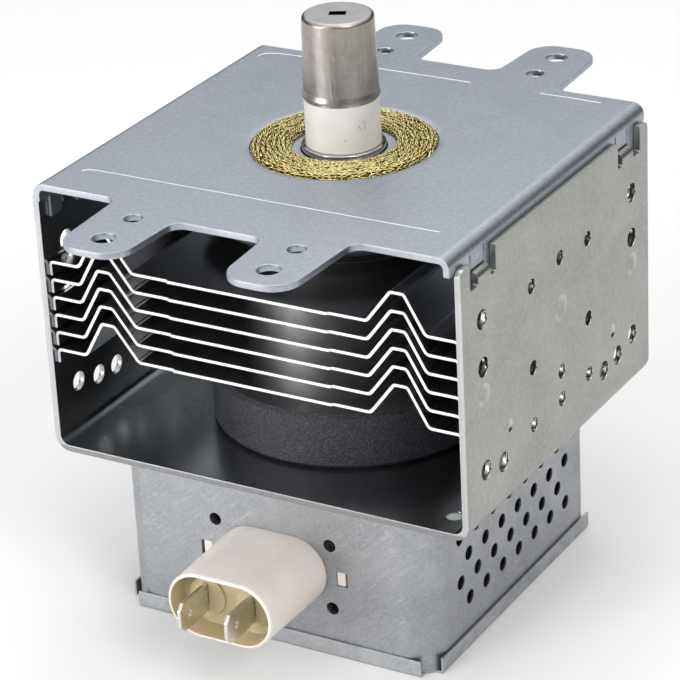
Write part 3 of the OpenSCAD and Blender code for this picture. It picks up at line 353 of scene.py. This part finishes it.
# sintered ferrite: charcoal with pale grains
ferriteFinish = {
    "colour": (34, 35, 39), "speck": (80, 81, 89), "dark": (20, 20, 24), "speckShare": 0.8,
    "fineScale": 3400, "blotchScale": 1300, "rough": 0.55, "roughSpread": (-0.12, 0.1),
    "bump": 0.5, "depth": 0.1 * mm,
}


def sinteredFerrite(conf):
    mat, tree, shader = newMaterial("sinteredFerrite", conf["colour"], roughness=conf["rough"])
    flat = coords(tree)
    fine = grain(tree, flat, conf["fineScale"], 2, 0.6)
    blotch = grain(tree, flat, conf["blotchScale"], 3, 0.6)
    colour = mixed(tree, sweep(tree, blotch, 0.35, 0.6), conf["dark"], conf["colour"])
    colour = mixed(tree, sweep(tree, fine, 0.46, 0.66, 0.0, conf["speckShare"]), colour, conf["speck"])
    rough = sweep(tree, fine, 0.3, 0.7, *[conf["rough"] + part for part in conf["roughSpread"]])
    dress(tree, shader, colour, rough)
    bumped(tree, shader, fine, conf["bump"], conf["depth"])
    return mat


# nickel plate, polished lengthwise
nickelFinish = {
    "colour": (166, 160, 152), "shade": (136, 129, 122), "pale": (192, 188, 181),
    "brush": (420, 420, 26), "brushShare": 0.35, "fine": (1500, 1500, 420), "fineShare": 0.3,
    "blotchScale": 300, "blotchShare": 0.5, "rough": 0.31, "roughSpread": (-0.04, 0.08),
    "top": (170, 169, 170), "topRough": 0.16, "topFacing": (0.92, 0.985),
    "slotR": 3 * mm, "slotFade": 1.1, "slotFacing": (0.5, 0.7), "slotShadeColour": (10, 10, 10),
    "bump": 0.1, "depth": 0.04 * mm,
}


def brushedNickel(conf):
    mat, tree, shader = newMaterial("brushedNickel", conf["colour"], metallic=1.0, roughness=conf["rough"])
    upright = grain(tree, coords(tree, conf["brush"]), 1.0, 3, 0.6)
    fine = grain(tree, coords(tree, conf["fine"]), 1.0, 3, 0.6)
    blotch = grain(tree, coords(tree), conf["blotchScale"], 4, 0.65)
    brushed = sweep(tree, upright, 0.35, 0.68, 0.0, conf["brushShare"])
    colour = mixed(tree, brushed, conf["colour"], conf["shade"])
    colour = mixed(tree, sweep(tree, blotch, 0.45, 0.7, 0.0, conf["blotchShare"]), colour, conf["shade"])
    colour = mixed(tree, sweep(tree, fine, 0.45, 0.75, 0.0, conf["fineShare"]), colour, conf["pale"])
    up = facing(tree, 2)
    crown = sweep(tree, up, *conf["topFacing"])  # the top disc is matt
    colour = mixed(tree, crown, colour, conf["top"])
    # painted shade: the slot's inner walls are painted near black, as no light gets into the slot
    middle = sweep(tree, axisReach(tree), conf["slotR"], conf["slotR"] * conf["slotFade"], 1.0, 0.0)
    slot = times(tree, middle, sweep(tree, up, *conf["slotFacing"], 1.0, 0.0))
    colour = mixed(tree, slot, colour, conf["slotShadeColour"])
    rough = sweep(tree, upright, 0.25, 0.75, *[conf["rough"] + part for part in conf["roughSpread"]])
    rough = plus(tree, rough, times(tree, crown, conf["topRough"]))
    dress(tree, shader, colour, rough)
    bumped(tree, shader, fine, conf["bump"], conf["depth"])
    return mat


# plain metals for the seals, wires and inner pieces, each with its own grain
metalSet = {"roughSpread": (-0.05, 0.08), "topShadeFade": 0.3, "bump": 0.06, "depth": 0.03 * mm}
# painted shade on the anode's top end, which lies in shade under the plate
anodeTopShade = {"lowZ": -17.2, "colour": (58, 56, 57), "rough": 0.1}


def plainMetal(name, colour, shade, rough, stretch=(1, 1, 1), scale=600, shadedTop=None):
    mat, tree, shader = newMaterial(name, colour, metallic=1.0, roughness=rough)
    fine = grain(tree, coords(tree, stretch), scale, 4, 0.6)
    tint = mixed(tree, sweep(tree, fine, 0.3, 0.75), colour, shade)
    dull = sweep(tree, fine, 0.3, 0.7, *[rough + part for part in metalSet["roughSpread"]])
    if shadedTop:  # painted shade: the end above this height is painted dark, as it lies in shade under the plate
        lowZ = shadedTop["lowZ"]
        topShade = sweep(tree, place(tree, 2), lowZ * mm, (lowZ + metalSet["topShadeFade"]) * mm)
        tint = mixed(tree, topShade, tint, shadedTop["colour"])
        dull = plus(tree, dull, times(tree, topShade, shadedTop["rough"]))
    dress(tree, shader, tint, dull)
    bumped(tree, shader, fine, metalSet["bump"], metalSet["depth"])
    return mat


# fired ceramic: matt, with a few dark specks and a cluster of crumbs
ceramicFinish = {
    "colour": (218, 215, 211), "shade": (209, 204, 199), "speck": (104, 102, 102), "rough": 0.42,
    "cloudScale": 130, "dotScale": 420, "dotShare": 0.7, "fewScale": 95,
    "crumbScale": 1500, "crumbAt": (6.55 * mm, -3.86 * mm, 5.9 * mm), "crumbReach": 1.6 * mm,
    "skinScale": 2600, "bump": 0.06, "depth": 0.03 * mm,
}
tanFinish = dict(ceramicFinish, colour=(206, 190, 160), shade=(190, 172, 140))


def firedCeramic(name, conf):
    mat, tree, shader = newMaterial(name, conf["colour"], roughness=conf["rough"])
    flat = coords(tree)
    cloud = grain(tree, flat, conf["cloudScale"], 3, 0.5)
    few = sweep(tree, grain(tree, flat, conf["fewScale"], 2, 0.5), 0.62, 0.7)
    dots = sweep(tree, cells(tree, flat, conf["dotScale"]), 0.12, 0.2, conf["dotShare"], 0.0)
    away = addNode(tree, "ShaderNodeVectorMath", {0: flat, 1: conf["crumbAt"]}, operation="DISTANCE")
    near = sweep(tree, away.outputs["Value"], 0.0, conf["crumbReach"], 1.0, 0.0)
    crumbs = sweep(tree, cells(tree, flat, conf["crumbScale"]), 0.2, 0.4, 1.0, 0.0)
    spots = sums(tree, "MAXIMUM", times(tree, dots, few), times(tree, crumbs, near))
    colour = mixed(tree, sweep(tree, cloud, 0.35, 0.65), conf["colour"], conf["shade"])
    dress(tree, shader, mixed(tree, spots, colour, conf["speck"]))
    bumped(tree, shader, grain(tree, flat, conf["skinScale"], 2, 0.5), conf["bump"], conf["depth"])
    return mat


# moulded cream plastic, yellower in the socket and painted darker there as shade
mouldFinish = {
    "colour": (230, 222, 215), "warmShade": (188, 172, 137), "shade": (223, 214, 206), "rough": 0.36,
    "glow": 0.12, "glowRadius": (0.004, 0.003, 0.002), "glowScale": 0.3,
    "socketHalf": 4.8 * mm, "socketZ": -77.8 * mm, "socketR": 6.55 * mm, "socketFade": 0.2 * mm,
    "cloudScale": 110, "skinScale": 1400, "bump": 0.04, "depth": 0.04 * mm,
}


def mouldedCream(conf):
    mat, tree, shader = newMaterial("mouldedCream", conf["colour"], roughness=conf["rough"])
    shader.inputs["Subsurface Weight"].default_value = conf["glow"]
    shader.inputs["Subsurface Radius"].default_value = conf["glowRadius"]
    shader.inputs["Subsurface Scale"].default_value = conf["glowScale"]
    flat = coords(tree)
    across = minus(tree, unsigned(tree, place(tree, 0)), conf["socketHalf"])
    across = sums(tree, "MAXIMUM", across)  # none between the centres of the socket's round ends
    upright = minus(tree, place(tree, 2), conf["socketZ"])
    wallR = conf["socketR"]
    inside = sweep(tree, span(tree, across, upright), wallR - conf["socketFade"], wallR, 1.0, 0.0)
    cloud = grain(tree, flat, conf["cloudScale"], 3, 0.5)
    colour = mixed(tree, sweep(tree, cloud, 0.35, 0.7), conf["colour"], conf["shade"])
    # the socket's inside gets a yellower tone, painted darker as shade
    dress(tree, shader, mixed(tree, inside, colour, conf["warmShade"]))
    bumped(tree, shader, grain(tree, flat, conf["skinScale"], 3, 0.5), conf["bump"], conf["depth"])
    return mat


# brass of the gasket: bright olive gold wire with painted glints, and the pressed wire below it, painted dark
# as the shade deep in the knit
brassFinish = {
    "colour": (203, 190, 131), "shade": (128, 113, 57), "pale": (243, 236, 195), "rough": 0.31,
    "patchScale": 1400, "glintScale": 1900,
}
coreShadeFinish = {
    "colour": (66, 55, 21), "pale": (118, 101, 46), "rough": 0.5,
    "weaveScale": 1500, "bump": 0.8, "depth": 0.3 * mm,
}


def gasketBrass(conf):
    mat, tree, shader = newMaterial("gasketBrass", conf["colour"], metallic=1.0, roughness=conf["rough"])
    flat = coords(tree)
    patch = grain(tree, flat, conf["patchScale"], 3, 0.6)
    colour = mixed(tree, sweep(tree, patch, 0.3, 0.5), conf["shade"], conf["colour"])
    # painted glints: pale spots stand for light caught on the wire
    glints = grain(tree, flat, conf["glintScale"], 2, 0.5)
    dress(tree, shader, mixed(tree, sweep(tree, glints, 0.55, 0.7), colour, conf["pale"]))
    return mat


def coreShadeBrass(conf):
    mat, tree, shader = newMaterial("coreShadeBrass", conf["colour"], metallic=1.0, roughness=conf["rough"])
    weave = grain(tree, coords(tree), conf["weaveScale"], 3, 0.6)
    dress(tree, shader, mixed(tree, sweep(tree, weave, 0.4, 0.65), conf["colour"], conf["pale"]))
    bumped(tree, shader, weave, conf["bump"], conf["depth"])
    return mat


materials = {
    "plate_steel": sheetSteel("plateSteel", plateFinish),
    "yoke_steel": sheetSteel("yokeSteel", yokeFinish),
    "box_steel": sheetSteel("boxSteel", boxFinish),
    "lid_steel": sheetSteel("lidSteel", lidFinish),
    "fin_aluminium": finAluminium(finFinish),
    "ferrite": sinteredFerrite(ferriteFinish),
    "cap_nickel": brushedNickel(nickelFinish),
    "seal_steel": plainMetal("sealSteel", (184, 183, 182), (164, 162, 160), 0.16),
    "anode_metal": plainMetal("anodePlate", (240, 237, 234), (230, 226, 222), 0.38, (1, 1, 0.1),
                              shadedTop=anodeTopShade),
    "copper": plainMetal("brightCopper", (196, 122, 84), (168, 96, 62), 0.28),
    "tungsten": plainMetal("dullTungsten", (112, 113, 118), (92, 93, 98), 0.42),
    "tinned_brass": plainMetal("tinnedBlade", (226, 223, 216), (212, 208, 200), 0.3, (1, 0.4, 1), 500),
    "enamelled_wire": plainMetal("enamelledWire", (164, 92, 48), (130, 66, 32), 0.2),
    "white_ceramic": firedCeramic("firedAlumina", ceramicFinish),
    "tan_ceramic": firedCeramic("capacitorBody", tanFinish),
    "cream_plastic": mouldedCream(mouldFinish),
    "gasket_brass": gasketBrass(brassFinish),
    "gasket_core": coreShadeBrass(coreShadeFinish),
    # painted highlight: the press lines are pale as the light they catch
    "press_line": plainMetal("pressLine", (226, 229, 233), (206, 210, 215), 0.42, scale=120),
}
for name, node in cadNodes.items():
    node.data.materials.clear()
    node.data.materials.append(materials[slotOf[name]])
print("materials made:", len(materials))


# pieces
def keep(mesh, name, finish, replaced=()):
    piece = bpy.data.objects.new(name, mesh)
    scene.collection.objects.link(piece)
    mesh.materials.clear()
    mesh.materials.append(materials[finish])
    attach(piece, "root")
    if replaced:
        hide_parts(*replaced)
    return piece


def meshFrom(bm, name):
    mesh = bpy.data.meshes.new(name)
    bm.to_mesh(mesh)
    bm.free()
    return mesh


def newWire(name, radius, resolution):
    wire = bpy.data.curves.new(name, "CURVE")
    wire.dimensions = "3D"
    wire.bevel_depth = radius * mm
    wire.bevel_resolution = resolution
    return wire


def addStrand(wire, spots):
    strand = wire.splines.new("POLY")
    strand.points.add(len(spots) - 1)
    for point, (x, y, z) in zip(strand.points, spots):
        point.co = (x * mm, y * mm, z * mm, 1)
    return strand


def meshFromWire(wire, smooth=False):
    holder = bpy.data.objects.new(wire.name + "Path", wire)
    mesh = bpy.data.meshes.new_from_object(holder)
    bpy.data.objects.remove(holder)
    if smooth:
        for face in mesh.polygons:
            face.use_smooth = True
    return mesh


# sheet edges with the small round that shearing leaves
edgeSet = {"weld": 0.002 * mm, "flatAngle": 0.6, "rimAngle": 16, "edgeAngle": 38, "segments": 2}
roundedNodes = {  # name of the piece and width of the round
    "mounting_plate": ("mountingPlate", 0.22),
    "yoke_frame": ("yokeFrame", 0.16),
    "filter_box": ("filterBox", 0.08),
    "filter_lid": ("filterLid", 0.08),
    "connector_housing": ("connectorHousing", 0.18),
    "blade_terminal_left": ("bladeLeft", 0.1),
    "blade_terminal_right": ("bladeRight", 0.1),
    "antenna_cap": ("antennaCap", 0.08),
    "output_ceramic": ("outputCeramic", 0.15),
}


def roundEdges(nodeName, pieceName, width, conf):
    bm = bmesh.new()
    bm.from_mesh(cadNodes[nodeName].data)
    bmesh.ops.remove_doubles(bm, verts=bm.verts, dist=conf["weld"])
    bmesh.ops.dissolve_limit(bm, angle_limit=math.radians(conf["flatAngle"]), verts=bm.verts, edges=bm.edges)
    turn = math.radians(conf["edgeAngle"])
    folds = [(e, e.calc_face_angle()) for e in bm.edges if len(e.link_faces) == 2]
    sharp = [e for e, angle in folds if angle > turn]
    rims = [e for e, angle in folds if math.radians(conf["rimAngle"]) < angle <= turn]
    bmesh.ops.bevel(bm, geom=sharp, offset=width * mm, offset_type="OFFSET", affect="EDGES",
                    segments=conf["segments"], profile=0.5, material=-1, clamp_overlap=False)
    for face in bm.faces:
        face.smooth = True
    for edge in bm.edges:
        edge.smooth = len(edge.link_faces) == 2 and edge.calc_face_angle() < turn
    for edge in rims:
        if edge.is_valid:
            edge.smooth = False
    slot = slotOf[nodeName]
    finish = "lid_steel" if nodeName == "filter_lid" else slot
    piece = keep(meshFrom(bm, pieceName), pieceName, finish, [nodeName])
    weighted = piece.modifiers.new("evenNormals", "WEIGHTED_NORMAL")
    weighted.keep_sharp = True


for nodeName, (pieceName, width) in roundedNodes.items():
    roundEdges(nodeName, pieceName, width, edgeSet)
print("edges rounded:", len(roundedNodes))


# gasket knitted from brass wire, pressed flat: rows of stitches run round the ring
gasketSet = {
    "innerR": 10.8, "outerR": 18.5, "low": -0.7, "high": 0.3, "edgeR": 0.7,
    "courses": 96, "wales": 9, "steps": 12, "loop": 0.7, "bulge": 0.06, "lift": 0.15,
    "wire": 0.125, "wireSides": 1,
    "drift": 3.2, "driftCourse": 2.37, "driftWale": 0.9, "driftCut": 2.7, "loopSpread": 0.5,
    "stray": 0.2, "strayScale": 0.9, "strayCourse": 3.1, "straySeed": 11,
    "coreIn": 0.3, "coreSteps": 24, "coreTurns": 96, "coreWeld": 0.001,
}


def ringSection(conf, share, inset):
    # point on the ring's skin and the way out: up the bore, over the top and down the rim
    inner, outer = conf["innerR"] + inset, conf["outerR"] - inset
    high, edge = conf["high"] - inset, conf["edgeR"]
    side, arc, top = high - edge - conf["low"], edge * math.pi / 2, outer - inner - 2 * edge
    run = share * (2 * side + 2 * arc + top)
    if run < side:
        return inner, conf["low"] + run, -1.0, 0.0
    run -= side
    if run < arc:
        a = run / edge
        return inner + edge * (1 - math.cos(a)), high - edge + edge * math.sin(a), -math.cos(a), math.sin(a)
    run -= arc
    if run < top:
        return inner + edge + run, high, 0.0, 1.0
    run -= top
    if run < arc:
        a = run / edge
        return outer - edge + edge * math.sin(a), high - edge + edge * math.cos(a), math.sin(a), math.cos(a)
    return outer, high - edge - (run - arc), 1.0, 0.0


def stitchSpot(conf, course, step):
    phase = math.tau * step / conf["steps"]
    share = (phase + conf["bulge"] * math.tau * math.sin(2 * phase)) / math.tau / conf["wales"]
    r, z, outR, outZ = ringSection(conf, min(max(share, 0.0), 1.0), 0.0)
    along = step / conf["steps"] * conf["driftWale"]
    rove = noise.noise(Vector((course * conf["driftCourse"], along, conf["driftCut"])))  # rows don't line up
    swing = phase + conf["drift"] * rove
    loop = conf["loop"] * (1 + conf["loopSpread"] * rove)
    angle = (course + loop * math.cos(swing)) * math.tau / conf["courses"]
    seed = Vector((r * math.cos(angle), r * math.sin(angle), z + course * conf["strayCourse"]))
    stray = noise.noise_vector(seed * conf["strayScale"]) * conf["stray"]
    lift = stray.z - conf["lift"] * math.cos(2 * swing)  # legs above, heads below
    r += outR * lift + stray.x
    z += outZ * lift
    angle += stray.y / r
    return r * math.cos(angle), r * math.sin(angle), z


def knitGasket(conf):
    wire = newWire("gasketKnit", conf["wire"], conf["wireSides"])
    count = conf["wales"] * conf["steps"] + 1
    noise.seed_set(conf["straySeed"])  # else the wires stray differently each run
    for course in range(conf["courses"]):
        addStrand(wire, [stitchSpot(conf, course, step) for step in range(count)])
    keep(meshFromWire(wire, smooth=True), "gasketKnit", "gasket_brass", ["rf_gasket"])


def pressCore(conf):
    # pressed wire below the top rows, painted dark as the shade deep in the knit
    bm = bmesh.new()
    count = conf["coreSteps"] + 1
    ring = [ringSection(conf, i / conf["coreSteps"], conf["coreIn"])[:2] for i in range(count)]
    points = [bm.verts.new((r * mm, 0, z * mm)) for r, z in ring]
    edges = [bm.edges.new((points[i], points[i - 1])) for i in range(count)]
    bmesh.ops.spin(bm, geom=points + edges, cent=(0, 0, 0), axis=(0, 0, 1), angle=math.tau,
                   steps=conf["coreTurns"], use_merge=True)
    bmesh.ops.remove_doubles(bm, verts=bm.verts, dist=conf["coreWeld"] * mm)
    bmesh.ops.recalc_face_normals(bm, faces=bm.faces)
    keep(meshFrom(bm, "gasketCore"), "gasketCore", "gasket_core")


knitGasket(gasketSet)
pressCore(gasketSet)
print("gasket knitted")


# thin lines that the press tool left on the plate, painted bright as the light they catch
lineSet = {"depth": 0.2, "sink": 0.12, "sides": 1}
dieLines = {
    "pressLineFront": [(-40.5, -33.3), (-39.6, -32.4), (-38, -32.05), (-30, -32), (0, -32), (38.5, -32)],
    "pressLineRearLeft": [
        (-41.6, 35.9), (-41.5, 37.1), (-40.7, 38.2), (-38.2, 39.1), (-34, 39.3), (-14, 39.3), (8, 39.4),
    ],
    "pressLineRearRight": [(24, 39.3), (31, 39.4), (38, 39.2)],
}


def pressLine(name, path, conf):
    line = newWire(name, conf["depth"], conf["sides"])
    line.use_fill_caps = True
    addStrand(line, [(x, y, -conf["sink"]) for x, y in path])
    keep(meshFromWire(line), name, "press_line")


for lineName, path in dieLines.items():
    pressLine(lineName, path, lineSet)
print("press lines laid:", len(dieLines))


# the plate's lip carries on down behind the relief slits
skirtSet = {
    "inX": 45.45, "outX": 46.05, "low": -8.9, "high": -3.8, "runs": [(26.2, 28.8), (34.2, 38.0)],
    "bevel": 0.12, "segments": 2,
}


def lipSkirts(conf):
    bm = bmesh.new()
    midX, midZ = (conf["outX"] + conf["inX"]) / 2, (conf["high"] + conf["low"]) / 2
    for sideX in (-1, 1):
        for sideY in (-1, 1):
            for start, stop in conf["runs"]:
                verts = bmesh.ops.create_cube(bm, size=1.0)["verts"]
                size = (conf["outX"] - conf["inX"], stop - start, conf["high"] - conf["low"])
                middle = (sideX * midX, sideY * (start + stop) / 2, midZ)
                bmesh.ops.scale(bm, verts=verts, vec=size)
                bmesh.ops.translate(bm, verts=verts, vec=middle)
    bmesh.ops.bevel(bm, geom=bm.edges[:], offset=conf["bevel"], offset_type="OFFSET", affect="EDGES",
                    segments=conf["segments"], profile=0.5, material=-1)
    bmesh.ops.scale(bm, verts=bm.verts, vec=(mm, mm, mm))
    keep(meshFrom(bm, "lipSkirts"), "lipSkirts", "plate_steel")


lipSkirts(skirtSet)
print("lip skirts set")


# crease down the cap where its seam closed
creaseSet = {
    "topTurn": -76, "topZ": 20.0, "lowTurn": -73.5, "lowZ": 12.0,
    "capTopR": 7.2, "capTopZ": 26.3, "capLowR": 7.55, "capLowZ": 11.9,  # the cap's taper
    "steps": 9, "depth": 0.34, "sink": 0.14, "sides": 2, "topShare": 0.7,
}


def capCrease(conf):
    line = newWire("capCrease", conf["depth"], conf["sides"])
    shares = [i / (conf["steps"] - 1) for i in range(conf["steps"])]
    spots = []
    for share in shares:
        z = conf["topZ"] + (conf["lowZ"] - conf["topZ"]) * share
        angle = math.radians(conf["topTurn"] + (conf["lowTurn"] - conf["topTurn"]) * share)
        rise = (z - conf["capLowZ"]) / (conf["capTopZ"] - conf["capLowZ"])
        r = conf["capLowR"] + (conf["capTopR"] - conf["capLowR"]) * rise - conf["sink"]
        spots.append((r * math.cos(angle), r * math.sin(angle), z))
    strand = addStrand(line, spots)
    for point, share in zip(strand.points, shares):
        point.radius = conf["topShare"] + (1 - conf["topShare"]) * share
    keep(meshFromWire(line, smooth=True), "capCrease", "cap_nickel")


capCrease(creaseSet)
print("cap creased")


# stage: pale floor, soft lamps, white surround and dark flags low round the set, open beside the front lamp
stageSet = {
    "floorZ": cadBox[0].z, "floorHalf": 6.0, "floorColour": (238, 238, 238), "floorRough": 0.7,
    "floorShine": 0.1, "surround": 0.47, "flagR": 0.9, "flagLow": 0.03, "flagHigh": 0.55,
    "flagFrom": -106, "flagTurn": 323, "flagSteps": 48, "flagColour": (30, 30, 30), "flagRough": 0.9,
}
lamps = [  # name, place, aim, width and power
    ("topLamp", (0.0, 0.1, 1.3), (0, 0, 0), 1.4, 9),
    ("backLamp", (-0.45, 0.75, 1.0), (0, 0, 0), 1.2, 2.2),
    ("frontLamp", (-0.28, -1.07, 0.46), (0, 0, -0.04), 0.6, 4.4),
    ("lowLamp", (-0.6, -0.92, 0.05), (0, 0, -0.03), 0.24, 4.5),
    ("rightLamp", (1.1, -0.6, 0.9), (0, 0, -0.04), 0.8, 8.5),
]


def setOnStage(mesh, material):
    thing = bpy.data.objects.new(mesh.name, mesh)
    scene.collection.objects.link(thing)
    mesh.materials.append(material)
    return thing


def layFloor(conf):
    bm = bmesh.new()
    bmesh.ops.create_grid(bm, x_segments=1, y_segments=1, size=conf["floorHalf"])
    bmesh.ops.translate(bm, verts=bm.verts, vec=(0, 0, conf["floorZ"]))
    mat, tree, shader = newMaterial("paleFloor", conf["floorColour"], roughness=conf["floorRough"])
    shader.inputs["Specular IOR Level"].default_value = conf["floorShine"]
    setOnStage(meshFrom(bm, "floor"), mat)


def standFlags(conf):
    bm = bmesh.new()
    heights = (conf["flagLow"], conf["flagHigh"])
    ends = [bm.verts.new((conf["flagR"], 0, conf["floorZ"] + height)) for height in heights]
    upright = bm.edges.new(ends)
    turn = Matrix.Rotation(math.radians(conf["flagFrom"]), 3, "Z")
    bmesh.ops.rotate(bm, verts=bm.verts, cent=(0, 0, 0), matrix=turn)
    bmesh.ops.spin(bm, geom=[*ends, upright], cent=(0, 0, 0), axis=(0, 0, 1),
                   angle=math.radians(conf["flagTurn"]), steps=conf["flagSteps"])
    felt = newMaterial("blackFlag", conf["flagColour"], roughness=conf["flagRough"])[0]
    flags = setOnStage(meshFrom(bm, "flags"), felt)
    flags.visible_camera = False  # seen only in the metal's reflections
    flags.visible_shadow = False
    flags.visible_diffuse = False


def lightSurround(conf):
    world = bpy.data.worlds.new("studio")
    world.use_nodes = True
    scene.world = world
    tree = world.node_tree
    path = addNode(tree, "ShaderNodeLightPath")
    seen = sums(tree, "MAXIMUM", path.outputs["Is Glossy Ray"], path.outputs["Is Transmission Ray"])
    seen = sums(tree, "MAXIMUM", path.outputs["Is Camera Ray"], seen)
    strength = addNode(tree, "ShaderNodeMapRange", {"Value": seen, "To Min": conf["surround"], "To Max": 1.0})
    tree.nodes["Background"].inputs["Color"].default_value = (1, 1, 1, 1)
    tree.links.new(strength.outputs["Result"], tree.nodes["Background"].inputs["Strength"])


def hangLamp(name, spot, aim, size, power):
    data = bpy.data.lights.new(name, "AREA")
    data.shape = "DISK"
    data.size = size
    data.energy = power
    lamp = bpy.data.objects.new(name, data)
    lamp.location = spot
    lamp.rotation_euler = (Vector(spot) - Vector(aim)).to_track_quat("Z", "Y").to_euler()
    scene.collection.objects.link(lamp)


layFloor(stageSet)
standFlags(stageSet)
lightSurround(stageSet)
for lamp in lamps:
    hangLamp(*lamp)
print("stage lit")
